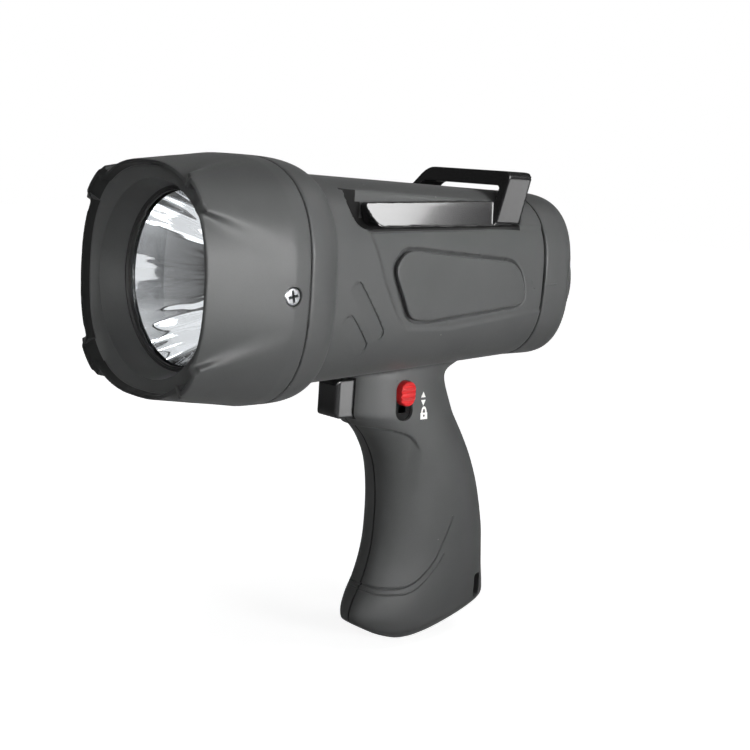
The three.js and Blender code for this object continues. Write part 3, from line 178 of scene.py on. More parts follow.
# %% [markdown]
# The body is moulded ABS with a rubbery soft-touch paint, which scatters light widely: there
# is only a broad dull sheen, broken up by a fine sand texture. The tone wanders a little, and
# a few specks of dust stick to it. Sunk places and the rim's front get painted shade.

# %% Soft-touch paint
SAND_MM, PEEL_MM, CLOUD_MM, SPECK_MM = 0.45, 1.7, 22, 11.0


def within(tree, place, low, high):
    """1 inside a box given in millimetres, 0 outside; x counts without its sign."""
    parts = xyz(tree, place)
    inside = 1.0
    for part, start, end in zip((calc(tree, "ABSOLUTE", parts[0]), parts[1], parts[2]), low, high):
        inside = calc(tree, "MULTIPLY", inside, calc(tree, "GREATER_THAN", part, start * MM))
        inside = calc(tree, "MULTIPLY", inside, calc(tree, "LESS_THAN", part, end * MM))
    return inside


def rim_shade_mask(tree, place, front):
    """Painted shade, 1 ahead of a plane on faces that face the front or the beam; less on the near
    side.
    """
    spoke = vector(tree, "NORMALIZE", across_beam(tree, place))[0]
    facing = add(tree, "NewGeometry").outputs["Normal"]
    outward = vector(tree, "DOT_PRODUCT", facing, spoke)["Value"]
    forward = xyz(tree, facing)[1]
    inner = ramp(tree, calc(tree, "MINIMUM", outward, forward), -0.75, -0.6, 1.0, 0.0)
    ahead = within(tree, place, (-1, -200, -60), (60, front, 60))
    aside = xyz(tree, place)[0]
    # The painted shade fades to about a third towards the near side
    far_side_shade = ramp(tree, aside, 8 * MM, 22 * MM, 1.0, 0.35)
    return calc(tree, "MULTIPLY", calc(tree, "MULTIPLY", ahead, inner), far_side_shade)


# Masks paint near black: painted shade in sunk places and on the rim, and a dark joint line
def soft_touch_paint(name, base, lighter, roughness, shade_and_joint_boxes=(), rim=None, shade_and_joint_colour="#060606"):
    material, tree = blank(name)
    place = object_place(tree)
    sand = noise(tree, place, per(SAND_MM), 2.0)
    tone = ramp(tree, noise(tree, place, per(CLOUD_MM), 3.0), 0.3, 0.7, 0.0, 0.6)
    grain = ramp(tree, sand, 0.25, 0.75, 0.0, 0.4)
    paint = blend(tree, calc(tree, "ADD", tone, grain), linear(base), linear(lighter))
    cells = add(tree, "TexVoronoi", {"Vector": place, "Scale": per(SPECK_MM)})
    dust = ramp(tree, cells.outputs["Distance"], 0.018, 0.03, 0.35, 0.0)
    paint = blend(tree, dust, paint, linear("#a3a3a0"))
    rough = ramp(tree, sand, 0.3, 0.7, roughness - 0.04, roughness + 0.06)
    # Painted shade in the listed boxes and on the rim; the joint's box paints a dark line
    shade_and_joint_masks = [within(tree, place, low, high) for low, high in shade_and_joint_boxes]
    shade_and_joint_masks += [rim_shade_mask(tree, place, rim)] if rim is not None else []
    for mask in shade_and_joint_masks:
        paint = blend(tree, mask, paint, linear(shade_and_joint_colour))
        rough = calc(tree, "MAXIMUM", rough, mask)
    fine = bump(tree, sand, 0.25, 0.05)
    relief = bump(tree, noise(tree, place, per(PEEL_MM), 1.0), 0.1, 0.1, Normal=fine)
    surface(tree, {
        "Base Color": paint, "Roughness": rough, "Normal": relief, "IOR": 1.5,
        "Specular IOR Level": 0.45, "Sheen Weight": 0.05, "Sheen Roughness": 0.5,
    })
    return material


# Boxes of painted shade: the lock's pocket, the trigger's mouth and the bracket's seats in three
# parts; the strip along the joint of the halves is painted as a dark joint line
painted_shade_and_joint_boxes = [
    ((5.0, -75.4, -47.2), (12.25, -68.0, -33.0)),
    ((-1, -88.4, -46.7), (5.5, -60, -32.7)),
    ((19.3, -113.6, 16.9), (27.6, -103.9, 25.6)),
    ((19.3, -113.2, 25.5), (20.1, -106.0, 30.2)),
    ((19.3, -113.6, 16.9), (26.3, -36.0, 20.6)),
    ((-1, -100, -140), (0.36, 0, 60)),
]
PAINT_DARK, PAINT_LIGHT, RIM_FRONT = "#3f4040", "#4a4b4b", -167.0
body_paint = soft_touch_paint(
    "Soft-touch paint on moulded ABS", PAINT_DARK, PAINT_LIGHT, 0.5, shade_and_joint_boxes=painted_shade_and_joint_boxes
)
# The head paint darkens the rim's front faces and inner walls as painted shade
head_paint = soft_touch_paint(
    "Soft-touch paint with painted shade in the rim", PAINT_DARK, PAINT_LIGHT, 0.5,
    rim=RIM_FRONT, shade_and_joint_colour="#141515",
)
print("made", body_paint.name, "and", head_paint.name)

# %% [markdown]
# The bracket and the trigger are bare ABS from a polished mould. Their gloss is high, with
# the faint waviness of moulded plastic and fine rubbed scratches. The same recipe, in other
# colours, gives the red slide, the white switch parts and the cell sleeves.

# %% Polished and plain moulded plastics
def moulded_plastic(name, colour, roughness, wave_mm=2.2, coat=0.0, wear=0.1):
    material, tree = blank(name)
    place = object_place(tree)
    waves = noise(tree, place, per(wave_mm), 1.0)
    rubs = noise(tree, place, per(0.5), 4.0)
    base = linear(colour)
    paler = tuple(min(1.0, c * 1.35 + 0.004) for c in base[:3]) + (1.0,)
    surface(tree, {
        "Base Color": blend(tree, ramp(tree, waves, 0.3, 0.8, 0.0, 0.4), base, paler),
        "Roughness": ramp(tree, rubs, 0.35, 0.75, roughness, min(1.0, roughness + wear)),
        "Normal": bump(tree, waves, 0.08, 0.1),
        "IOR": 1.53, "Coat Weight": coat, "Coat Roughness": 0.08,
    })
    return material


gloss_plastic = moulded_plastic(
    "Polished black ABS", "#1a1a1b", 0.19, wave_mm=7.0, coat=0.5, wear=0.02
)
# The trigger's copy is a little lighter than the bracket's, as painted light on its lit side
trigger_plastic = moulded_plastic(
    "Polished black ABS, lighter for its lit side", "#1f1f20", 0.18, wave_mm=6.0, coat=0.4, wear=0.03
)
red_plastic = moulded_plastic("Red moulded ABS", "#c21a1c", 0.34)
switch_plastic = moulded_plastic("Matte black nylon", "#17181a", 0.55)
white_plastic = moulded_plastic("White acetal", "#e6e6e2", 0.4)
sleeve_plastic = moulded_plastic("Shrink sleeve of a battery", "#3d5f86", 0.3)
print("made the moulded plastics")

# %% [markdown]
# The gasket and the cap's seal are black rubber from a lathe-cut mould, so they carry fine
# rings round the beam, drawn from the distance to the axis with a real pitch.

# %% Rubber with turned rings
def ringed_rubber(name, colour, pitch_mm):
    material, tree = blank(name)
    place = object_place(tree)
    reach = vector(tree, "LENGTH", across_beam(tree, place))["Value"]
    rings = calc(tree, "SINE", calc(tree, "MULTIPLY", reach, 2 * pi * per(pitch_mm)))
    shade = ramp(tree, rings, -1.0, 1.0, 0.0, 0.5)
    surface(tree, {
        "Base Color": blend(tree, shade, linear(colour), linear("#3a3a3a")),
        "Roughness": ramp(tree, noise(tree, place, per(0.4), 2.0), 0.3, 0.7, 0.42, 0.6),
        "Normal": bump(tree, rings, 0.4, 0.1),
    })
    return material


rubber = ringed_rubber("Black moulded rubber", "#0c0c0c", 0.55)
print("made", rubber.name)

# %% [markdown]
# The reflector is plastic with a vacuum coat of aluminium, so it is a near mirror, and the
# sink of the moulding shows in it as broad streaks from the middle to the rim. The screws are
# zinc-plated steel, the heat sink is cast and sandblasted, and the contacts are pressed brass.

# %% Metals
def metal(name, colour, roughness, grain_mm, bump_mm, wear=0.08):
    material, tree = blank(name)
    place = object_place(tree)
    grain = noise(tree, place, per(grain_mm), 3.0)
    base = linear(colour)
    darker = tuple(c * 0.82 for c in base[:3]) + (1.0,)
    surface(tree, {
        "Base Color": blend(tree, noise(tree, place, per(6.0), 2.0), base, darker),
        "Roughness": ramp(tree, grain, 0.3, 0.7, roughness, roughness + wear),
        "Normal": bump(tree, grain, 0.3, bump_mm), "Metallic": 1.0,
    })
    return material


mirror_coat, tree = blank("Vacuum-coated aluminium")
place = object_place(tree)
spoke = vector(tree, "NORMALIZE", across_beam(tree, place))[0]
slow = vector(tree, "MULTIPLY", place, (per(60),) * 3)[0]
fan = vector(tree, "MULTIPLY_ADD", spoke, (1.5,) * 3, slow)[0]
surface(tree, {
    "Base Color": linear("#f4f5f6"), "Metallic": 1.0,
    "Roughness": ramp(tree, noise(tree, place, per(1.2), 3.0), 0.35, 0.75, 0.02, 0.07),
    "Normal": bump(tree, noise(tree, fan, 1.6, 0.7), 1.0, 2.2),
})
plated_steel = metal("Zinc-plated steel", "#c4c6c8", 0.36, 0.3, 0.02)
cast_metal = metal("Sandblasted cast aluminium", "#b6b8b8", 0.45, 0.5, 0.05)
pressed_brass = metal("Pressed brass", "#c9a458", 0.28, 0.4, 0.02)
print("made the metals")

# %% [markdown]
# The lens is a disc of clear polycarbonate. The light source behind it is a yellow phosphor
# dome on a white board, and the driver has a green board.

# %% Lens, phosphor and boards
lens_clear, tree = blank("Clear polycarbonate")
haze = noise(tree, object_place(tree), per(5.0), 3.0)
surface(tree, {
    "Base Color": linear("#fbfcfd"), "Roughness": ramp(tree, haze, 0.35, 0.7, 0.0, 0.03),
    "IOR": 1.45, "Transmission Weight": 1.0,
})

phosphor = moulded_plastic("Silicone phosphor", "#e3cf3f", 0.3)
white_board = moulded_plastic("White solder mask", "#e9eae6", 0.35)
green_board = moulded_plastic("Green solder mask", "#1e5b36", 0.3)
print("made", lens_clear.name)

# %% [markdown]
# Pieces are drawn in millimetres and turned to metres when they are kept. A loft extrudes the
# edge of a circle from ring to ring, a prism extrudes a flat face, and a turned piece is spun
# round the beam axis.

# %% Shape helpers
WIDE = 60  # beyond every surface
ACROSS = (-WIDE, WIDE)
SIDES = ((1, "left"), (-1, "right"))


def face_out(bm):
    bmesh.ops.recalc_face_normals(bm, faces=bm.faces)
    return bm


def loft(rings):
    bm = bmesh.new()
    last = bmesh.ops.create_circle(bm, segments=len(rings[0]), radius=1)["verts"]
    for vert, place in zip(last, rings[0]):
        vert.co = place
    for ring in rings[1:]:
        old = set(last)
        edges = {e for v in last for e in v.link_edges if old.issuperset(e.verts)}
        made = set(bmesh.ops.extrude_edge_only(bm, edges=list(edges))["geom"])
        grown = [
            next(e.other_vert(v) for e in v.link_edges if e.other_vert(v) in made)
            for v in last
        ]
        for vert, place in zip(grown, ring):
            vert.co = place
        last = grown
    bmesh.ops.holes_fill(bm, edges=bm.edges, sides=0)
    return face_out(bm)


def prism(points, push):
    """A flat face through these points, extruded along a vector."""
    bm = bmesh.new()
    verts = [bm.verts.new(point) for point in points]
    face = bmesh.ops.contextual_create(bm, geom=verts)["faces"]
    grown = bmesh.ops.extrude_face_region(bm, geom=face, use_keep_orig=True)["geom"]
    moved = [g for g in grown if isinstance(g, bmesh.types.BMVert)]
    bmesh.ops.translate(bm, verts=moved, vec=push)
    return bm


def plate(outline, x0, x1, corner=0.0, steps=5):
    """A prism across the object, drawn as (y, z) points in the side view."""
    bm = prism([(x0, y, z) for y, z in outline], (x1 - x0, 0, 0))
    if corner:
        across = [e for e in bm.edges if abs(e.verts[0].co.x - e.verts[1].co.x) > 1e-6]
        round_edges(bm, across, corner, steps)
    return face_out(bm)


def round_edges(bm, edges, radius, steps=4):
    bmesh.ops.bevel(
        bm, geom=edges, offset=radius, offset_type="OFFSET", segments=steps, profile=0.5,
        affect="EDGES", material=-1, clamp_overlap=True,
    )


def front_plate(outline, y0, y1):
    """A prism along the beam, drawn as (x, z) points in the front view."""
    return face_out(prism([(x, y0, z) for x, z in outline], (0, y1 - y0, 0)))


def block(x0, x1, y0, y1, z0, z1):
    return plate([(y0, z0), (y1, z0), (y1, z1), (y0, z1)], x0, x1)


def turn_round_y(bm, angle):
    spin = Matrix.Rotation(angle, 3, "Y")
    bmesh.ops.rotate(bm, verts=bm.verts, cent=(0, 0, 0), matrix=spin)
    return bm


def rod(radius, start, end, sides=48):
    bm = bmesh.new()
    start, end = Vector(start), Vector(end)
    along = end - start
    spin = along.to_track_quat("Z", "Y").to_matrix().to_4x4()
    bmesh.ops.create_cone(
        bm, cap_ends=True, segments=sides, radius1=radius, radius2=radius, depth=along.length,
        matrix=Matrix.Translation((start + end) / 2) @ spin,
    )
    return bm


def turned(profile, sides=128):
    """Spin a closed profile of (radius, y) points round the beam axis."""
    bm = bmesh.new()
    verts = [bm.verts.new((radius, y, 0)) for radius, y in profile]
    edges = [bm.edges.new((a, b)) for a, b in zip(verts, verts[1:] + verts[:1])]
    bmesh.ops.spin(
        bm, geom=verts + edges, cent=(0, 0, 0), axis=(0, 1, 0), angle=2 * pi, steps=sides,
        use_merge=True,
    )
    bmesh.ops.remove_doubles(bm, verts=bm.verts, dist=1e-4)
    return face_out(bm)


print("helpers ready")

# %% [markdown]
# Some shapes are easier to cut than to draw. These helpers make a working object, cut, join or
# trim it with others, and round it off by rebuilding it from small cells and relaxing it. That
# leaves the soft edges of a painted moulding.

# %% Join, cut and round off
def work(bm):
    mesh = bpy.data.meshes.new("work")
    bm.to_mesh(mesh)
    bm.free()
    obj = bpy.data.objects.new("work", mesh)
    scene.collection.objects.link(obj)
    return obj


def settle(obj):
    """Keep what the modifiers made."""
    seen = bpy.context.evaluated_depsgraph_get()
    mesh = bpy.data.meshes.new_from_object(obj.evaluated_get(seen))
    obj.modifiers.clear()
    old, obj.data = obj.data, mesh
    bpy.data.meshes.remove(old)


def worked(source):
    return source if isinstance(source, bpy.types.Object) else work(source)


def combine(operation, first, *tools):
    obj, tools = worked(first), [worked(tool) for tool in tools]
    for tool in tools:
        step = obj.modifiers.new(operation, "BOOLEAN")
        step.operation, step.solver, step.object = operation, "MANIFOLD", tool
    settle(obj)
    for tool in tools:
        bpy.data.meshes.remove(tool.data)
    return obj


def cut(first, *tools):
    return combine("DIFFERENCE", first, *tools)


def join(first, *tools):
    return combine("UNION", first, *tools)


def trim(first, *tools):
    return combine("INTERSECT", first, *tools)


def opened(obj):
    bm = bmesh.new()
    bm.from_mesh(obj.data)
    return bm


def shut(bm, obj):
    bm.to_mesh(obj.data)
    bm.free()


def relax(bm, verts, passes):
    for _ in range(passes):
        bmesh.ops.smooth_vert(
            bm, verts=verts, factor=0.5, use_axis_x=True, use_axis_y=True, use_axis_z=True
        )


def round_off(obj, cell, passes):
    step = obj.modifiers.new("cells", "REMESH")
    step.mode, step.voxel_size = "VOXEL", cell
    settle(obj)
    bm = opened(obj)
    relax(bm, bm.verts, passes)
    shut(bm, obj)


def tell(what, obj):
    print(what, "has", len(obj.data.polygons), "faces")


def coat(obj, material):
    obj.data.materials.clear()
    obj.data.materials.append(material)


def keep(source, name, material, replaces, body="housing", sharp=38):
    """Finish a piece: metres, name, material, shading and the body it rides."""
    obj = worked(source)
    obj.name = obj.data.name = name
    obj.data.transform(Matrix.Scale(MM, 4))
    coat(obj, material)
    for face in obj.data.polygons:
        face.use_smooth = True
        face.material_index = 0
    obj.data.set_sharp_from_angle(angle=radians(sharp))
    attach(obj, body)
    if replaces:
        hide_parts(*replaces)
    tell(name, obj)


print("workshop ready")

# %% [markdown]
# The barrel, the head and the cap share one kind of section, a superellipse: power 2 is an
# ellipse, and more is squarer. Rows of a table give it at places along the beam, and a smooth
# curve fills in rings between them.

# %% Sections and smooth tables
BODY_POWER, RIM_POWER, GRIP_POWER = 2.73, 2.47, 2.35


def oval(y, half_width, half_height, power, rise=0.0, sides=128):
    ring = []
    for i in range(sides):
        c, s = cos(2 * pi * i / sides), sin(2 * pi * i / sides)
        x = half_width * copysign(abs(c) ** (2 / power), c)
        z = half_height * copysign(abs(s) ** (2 / power), s)
        ring.append((x, y, z + rise))
    return ring


def curve(p, q, r, s, t):
    """A place on the way from q to r, with p before and s after them."""
    square, cube = 2 * p - 5 * q + 4 * r - s, 3 * q - p - 3 * r + s
    return 0.5 * (2 * q + (r - p) * t + square * t**2 + cube * t**3)


def flow(rows, steps):
    """Curve through the rows of a table, with this many steps from each row to the next."""
    out = []
    for i in range(len(rows) - 1):
        four = [rows[max(0, min(len(rows) - 1, i + k))] for k in (-1, 0, 1, 2)]
        for step in range(steps):
            out.append([curve(*column, step / steps) for column in zip(*four)])
    return out + [list(rows[-1])]


def between(a, b, share):
    return a + (b - a) * share


print("a section has", len(oval(0, 1, 1, BODY_POWER)), "points")

# %% [markdown]
# The head narrows from the body seam to the rim. Four scoops flatten its sides, and the
# corners between them stay proud as lugs. It is two lofts: one at the floor of the scoops, and
# a fuller one of which only the corners are kept.

# %% Head: outer form with scoops and lugs
HEAD_SEAM, SCOOP_START, LIP, LUG_TIP = -137.0, -142.6, -169.4, -170.0
BEZEL, CONE_FRONT, CONE_BACK = -166.6, -165.1, -157.1
HEAD_W, HEAD_H = 38.4, 37.6
SCOOP_REAR, SCOOP_FRONT = 12.75, 21.4  # half widths
# Half width, half height and power of the section at the rim and over the lugs
RIM, LUG = (33.1, 34.3, RIM_POWER), (35.2, 35.5, BODY_POWER)


def head_form(inset, rear, front, rim_w, rim_h, rim_power):
    rows = [(rear, HEAD_W, HEAD_H, BODY_POWER), (SCOOP_START, HEAD_W, HEAD_H, BODY_POWER)]
    for i in range(1, 13):
        t = i / 12
        # The first part of the slope is eased, so there is no hard ring round the head
        ease = max(0, t + 0.018 * sin(pi * min(1.0, t * 2)) - 0.012)
        rows.append((
            between(SCOOP_START, LIP, t), between(HEAD_W, rim_w, ease),
            between(HEAD_H, rim_h, ease), between(BODY_POWER, rim_power, t),
        ))
    return [oval(y, w - inset, h - inset, power) for y, w, h, power in rows if y >= front]


scoop = [(SCOOP_START, SCOOP_REAR), (-160, 17.9), (LIP, SCOOP_FRONT), (-175, 23.7)]
scoop = [(SCOOP_START, -SCOOP_REAR)] + scoop + [(y, -z) for y, z in scoop[:0:-1]]
outer_head = work(loft(head_form(0, HEAD_SEAM, LIP, *RIM)))
scoops = [turn_round_y(plate(scoop, *ACROSS), angle) for angle in (0, pi / 2)]
join(outer_head, cut(loft(head_form(0, HEAD_SEAM, LIP, *LUG)), *scoops))
tell("head outside", outer_head)


def lug_mask(edge):
    """Four bars along the corners, as wide as the lugs less an edge."""
    root, tip, ahead = 5.3 - edge, 4.5 - edge, LUG_TIP - (3 if edge else 0)
    outline = [
        (-root, BEZEL), (root, BEZEL), (root, LIP), (tip, LUG_TIP), (tip, ahead - 0.02),
        (-tip, ahead - 0.02), (-tip, LUG_TIP), (-root, LIP),
    ]
    bars = []
    for quarter in range(4):
        bar = prism([(t, y, 0) for t, y in outline], (0, 0, WIDE))
        bars.append(face_out(turn_round_y(bar, pi / 4 + quarter * pi / 2)))
    return join(*bars)


lugs = loft([oval(y, *LUG) for y in (BEZEL + 0.5, LUG_TIP)])
join(outer_head, trim(lugs, lug_mask(0)))
round_off(outer_head, 0.42, 4)

creases = opened(outer_head)
for reach, width, passes in ((0.8, 4.6, 60), (0.9, 4.6, 35), (0.97, 4.2, 18), (1.01, 3.8, 8)):
    near = []
    for vert in creases.verts:
        x, y, z = vert.co
        t = (y - SCOOP_START) / (LIP - SCOOP_START)
        line = between(SCOOP_REAR, SCOOP_FRONT, t)
        if 0.05 < t < reach and abs(min(abs(x), abs(z)) - line) < width:
            near.append(vert)
    relax(creases, near, passes)
shut(creases, outer_head)
tell("rounded head", outer_head)

# %% [markdown]
# Inside the rim there is a thin lip, a slightly dished bezel ring, and a dark cone that leads
# down to the lens. The lip's inner wall is cut with one cup for the scoops and a wider one for
# the lugs. The rear is hollowed for the lens, the reflector and the collar.

# %% Head: rim, bezel, cone and hollow
EDGE = 1.1
HEAD_SCREW, SCREW_WELL, SCREW_HOLE = (-143, -1.1), 2.9, 1.55


def cup(mouth_w, mouth_h, power):
    rings = [oval(CONE_FRONT + 0.02, 29.3, 29.3, 2), oval(BEZEL, 31.5, 32.6, RIM_POWER)]
    rings += [oval(y, mouth_w - EDGE, mouth_h - EDGE, power) for y in (LIP, -173)]
    return loft(rings)


lug_cup = trim(cup(*LUG), lug_mask(EDGE))
cone = turned([(0, CONE_BACK), (27.4, CONE_BACK), (29.3, CONE_FRONT), (29.3, -166), (0, -166)])
cut(outer_head, cup(*RIM), lug_cup, cone)

bore = turned([(0, -133), (28.9, -133), (28.9, CONE_BACK), (0, CONE_BACK)])
hollow = loft(head_form(2.8, -133, -150.0, *RIM))
cut(outer_head, bore, hollow)
for side in (1, -1):
    outside, seat, deep = ((side * x, *HEAD_SCREW) for x in (45, 35, 20))
    cut(outer_head, rod(SCREW_WELL, seat, outside), rod(SCREW_HOLE, deep, outside))
keep(outer_head, "head_moulding", head_paint, ["head_shell"])

# %% [markdown]
# The barrel is the same kind of loft, with a shoulder that climbs quickly to the head's seam.
# The grip is lofted downwards from a table, and trimmed with a second form that crowns its sole.

# %% Barrel and grip forms
BARREL_FRONT, TAIL_SEAM, RISE = -122.6, -23.8, 1.8
FRONT_W, FRONT_H, REAR_W, REAR_H = 31.8, 33.1, 28.9, 29.4


def barrel_rings(inset, front=HEAD_SEAM + 0.3, rear=TAIL_SEAM, sides=128):
    rings = []
    for i in range(25):
        y = between(rear, BARREL_FRONT, i / 24)
        t = (y - BARREL_FRONT) / (TAIL_SEAM - BARREL_FRONT)
        w, h = between(FRONT_W, REAR_W, t) - inset, between(FRONT_H, REAR_H, t) - inset
        rings.append(oval(y, w, h, BODY_POWER, RISE * t, sides))
    shoulder = [(0, 0), (0.07, 0.32), (0.18, 0.58), (0.38, 0.83), (0.64, 0.96), (1, 1)]
    for along, out in flow(shoulder, 4)[1:]:
        y = between(BARREL_FRONT, front, along)
        w, h = between(FRONT_W, HEAD_W, out) - inset, between(FRONT_H, HEAD_H, out) - inset
        rings.append(oval(y, w, h, BODY_POWER, 0, sides))
    return rings


def whole_barrel(inset):
    """The form of the barrel, carried on a little at both ends."""
    return loft(barrel_rings(inset, HEAD_SEAM - 3, TAIL_SEAM + 3))


# Height, front, rear and half width of the grip
grip_rows = [
    (-18, -89, -38, 12.6), (-27.6, -89, -38, 12.6), (-29.2, -89, -39.6, 12.6),
    (-30.6, -89, -42.8, 12.7), (-32.6, -89, -44.9, 12.8),
    (-36, -89, -44.7, 12.9), (-41, -89, -42.6, 13.2), (-45.7, -88.8, -40.4, 13.5),
    (-47.5, -86.4, -39.6, 13.65), (-51.7, -81.6, -37.0, 13.95), (-55.9, -77.6, -34.4, 14.2),
    (-63.9, -72.8, -29.8, 14.4), (-74.7, -70.3, -25.0, 14.55), (-89, -70.1, -20.9, 14.8),
    (-98, -71.4, -19.6, 14.9), (-106, -74.0, -18.6, 15.1), (-112, -77.2, -17.4, 15.2),
    (-117.5, -79.0, -16.6, 15.1), (-122, -78.2, -16.4, 14.8), (-128, -76.0, -16.4, 14.0),
]
sole_line = [
    (-85, -112), (-82.5, -116.5), (-79, -119.8), (-74, -123), (-68, -125.8), (-61, -127.7),
    (-52, -127.3), (-43, -125.6), (-33, -122.8), (-25, -119.4), (-19, -115.6), (-15, -111),
]


def grip_rings(inset, sides=128):
    rings = []
    for z, front, rear, width in flow(grip_rows, 4):
        middle, reach = (front + rear) / 2, (rear - front) / 2 - inset
        ring = oval(0, width - inset, reach, GRIP_POWER, 0, sides)
        rings.append([(x, middle + along, z) for x, _, along in ring])
    return rings


def sole_form(inset):
    """Everything above the crowned sole, as the hull of a few bent lines."""
    bm = bmesh.new()
    crown = ((0, 0), (4.5, 0.05), (7.5, 0.6), (10, 1.7), (12, 3.2), (13.6, 5.0), (15.4, 7.4))
    for aside, climb in crown:
        for x in (-aside, aside):
            for y, z in flow(sole_line, 3):
                bm.verts.new((x, y, z + climb + inset))
            bm.verts.new((x, 5, -10))
            bm.verts.new((x, -100, -10))
    hull = bmesh.ops.convex_hull(bm, input=bm.verts)
    spare = set(hull["geom_interior"] + hull["geom_unused"])
    spare = [g for g in spare if isinstance(g, bmesh.types.BMVert)]
    bmesh.ops.delete(bm, geom=spare, context="VERTS")
    return face_out(bm)


def crowned_grip(inset, sides=48):
    return trim(loft(grip_rings(inset, sides)), sole_form(inset))


shells = join(loft(barrel_rings(0)), crowned_grip(0, 128))
tell("barrel and grip", shells)

# %% [markdown]
# The flanks carry the room of a pad and the seat of the bracket. Both are plates seen from the
# side, cut before the rounding off, so that their edges turn out soft.

# %% Sunk places
def rounded(points, radius, steps=5):
    """The outline with each corner bent over this many steps."""
    out = []
    for i, here in enumerate(points):
        here = Vector(here)
        behind = Vector(points[i - 1]) - here
        ahead = Vector(points[(i + 1) % len(points)]) - here
        reach = min(radius, behind.length / 2.1, ahead.length / 2.1)
        start, end = here + behind.normalized() * reach, here + ahead.normalized() * reach
        for k in range(steps + 1):
            t = k / steps
            spot = start * (1 - t) ** 2 + here * 2 * t * (1 - t) + end * t**2
            out.append((spot.x, spot.y))
    return out


pad_corners = [
    (-89.97, -10.39), (-82.66, -11.6), (-32.2, -6.76), (-35.85, 4.37), (-40.83, 8.73),
    (-92.62, 12.6), (-98.6, 6.31),
]
seat_line = [
    (-104.5, 39.1), (-113.5, 25.6), (-112.6, 19.2), (-107.5, 17.2), (-36.6, 19.6),
    (-33.6, 22.6), (-33.6, 39.1),
]
for side in (1, -1):
    pad_room = cut(plate(rounded(pad_corners, 6), 0, side * WIDE), whole_barrel(1.3))
    seat = plate(rounded(seat_line, 2.4), side * 19.6, side * WIDE)
    cut(shells, pad_room, seat)
tell("body with seats", shells)

# %% [markdown]
# The body is one closed form until it is parted. It is rounded off whole, given the low
# relief of its flanks, hollowed to the wall of a moulding, and opened for the trigger, the
# lock and the screws.

# %% Round off, relief and hollow
# Place of each body screw and depth of its head
body_screws = ((-102, -24.2, 9), (-54, -24.2, 9), (-47, -60, 7), (-47, -112, 7))
PIN, PIN_HOLE = (-100.6, 22.2), 2.1
mouth = block(-5.3, 5.3, -110, -84, -46.5, -32.9)
round_edges(mouth, [e for e in mouth.edges if abs(e.verts[0].co.y - e.verts[1].co.y) > 1], 1.0)
pocket = plate([(-75.3, -47.1), (-68.1, -47.1), (-68.1, -33.1), (-75.3, -33.1)], 11.9, WIDE, 3.4, 8)
cut(shells, block(*ACROSS, -29.7, -25.1, -116.1, -107.9))
round_off(shells, 0.5, 5)
tell("rounded body", shells)


def reach_into(corners, y, z):
    """How far a place lies inside a convex outline, below zero outside."""
    nearest = 1e9
    for (y0, z0), (y1, z1) in zip(corners, corners[1:] + corners[:1]):
        along = Vector((y1 - y0, z1 - z0)).normalized()
        nearest = min(nearest, (z - z0) * along.x - (y - y0) * along.y)
    return nearest


def smooth(t):
    t = max(0.0, min(1.0, t))
    return t * t * (3 - 2 * t)


field = [
    (-109.5, 20.5), (-101.7, 1.1), (-95.5, -9.5), (-89.2, -14.0), (-68.8, -14.5),
    (-21.0, -9.0), (-21.0, 20.5),
]
step_line = [
    (-90, -49.3), (-83.5, -49.5), (-80.5, -49.6), (-75.9, -50.1), (-72.3, -50.9),
    (-69.5, -51.7), (-67.4, -52.9), (-65.6, -54.4), (-62.0, -59.0),
]
slats = [((-112.9, -0.5), (-102.3, -14.0)), ((-115.1, -10.7), (-107.8, -18.4))]
SLAT_HALF, SLAT_DEEP, FIELD_DEEP, STEP_DEEP = 2.5, 0.5, 0.45, 1.0


def flank_relief(y, z):
    """Rise in millimetres: two ramps, the field round the pad and the grip's step."""
    rise = 0.0
    for start, end in slats:
        along = Vector(end) - Vector(start)
        spot = Vector((y, z)) - Vector(start)
        run = spot.dot(along.normalized())
        aside = (spot.y * along.x - spot.x * along.y) / along.length
        overshoot = max(0.0, -run, run - along.length)
        if aside**2 + overshoot**2 < SLAT_HALF**2:
            rise = -SLAT_DEEP * (aside + SLAT_HALF) / (2 * SLAT_HALF)
    if -125 < y < -20 and abs(z) < 24:
        rise -= FIELD_DEEP * smooth(reach_into(field, y, z) / 1.6)
    if y < -62 and -75 < z < -48:
        i = max(k for k in range(len(step_line) - 1) if step_line[k][0] <= y)
        (y0, z0), (y1, z1) = step_line[i], step_line[i + 1]
        below = between(z0, z1, (y - y0) / (y1 - y0)) - z
        faded = smooth(below / 0.9) * (1 - smooth(below / 22)) * smooth((-62 - y) / 5)
        rise -= STEP_DEEP * faded
    return rise


relief = opened(shells)
relief.normal_update()
ways = [(vert, vert.normal.copy()) for vert in relief.verts]
for vert, way in ways:
    x, y, z = vert.co
    if z < -45 or abs(x) > 20:
        vert.co += way * flank_relief(y, z)
shut(relief, shells)

collar = loft(head_form(3.1, -130, -149.5, *RIM))
join(shells, trim(collar, block(*ACROSS, -149.2, -131, *ACROSS)))
grip_room = cut(crowned_grip(2.4), block(*ACROSS, -200, 0, -33, WIDE))
room = join(loft(barrel_rings(2.2, HEAD_SEAM + 3, TAIL_SEAM + 4, 48)), grip_room)
for side in (1, -1):
    seat_floor = [(-115.8, WIDE), (-115.8, 15), (-31.4, 15), (-31.4, WIDE)]
    seat_floor = plate(seat_floor, side * 17.4, side * WIDE)
    cut(room, seat_floor, plate(rounded(pad_corners, 6), side * 26.5, side * WIDE))
posts = [rod(4.2, (-WIDE, y, z), (WIDE, y, z)) for y, z, _ in body_screws]
cut(room, *posts, block(*ACROSS, -31.5, -23.3, -117.9, -106.1))
collar_room = loft(head_form(5.5, -128, -152.0, *RIM))
trigger_room = block(-6.3, 6.3, -85.1, -68.0, -46.5, -32.9)
foot_room = block(5.0, 11.4, -75.5, -68.4, -47.2, -33.4)
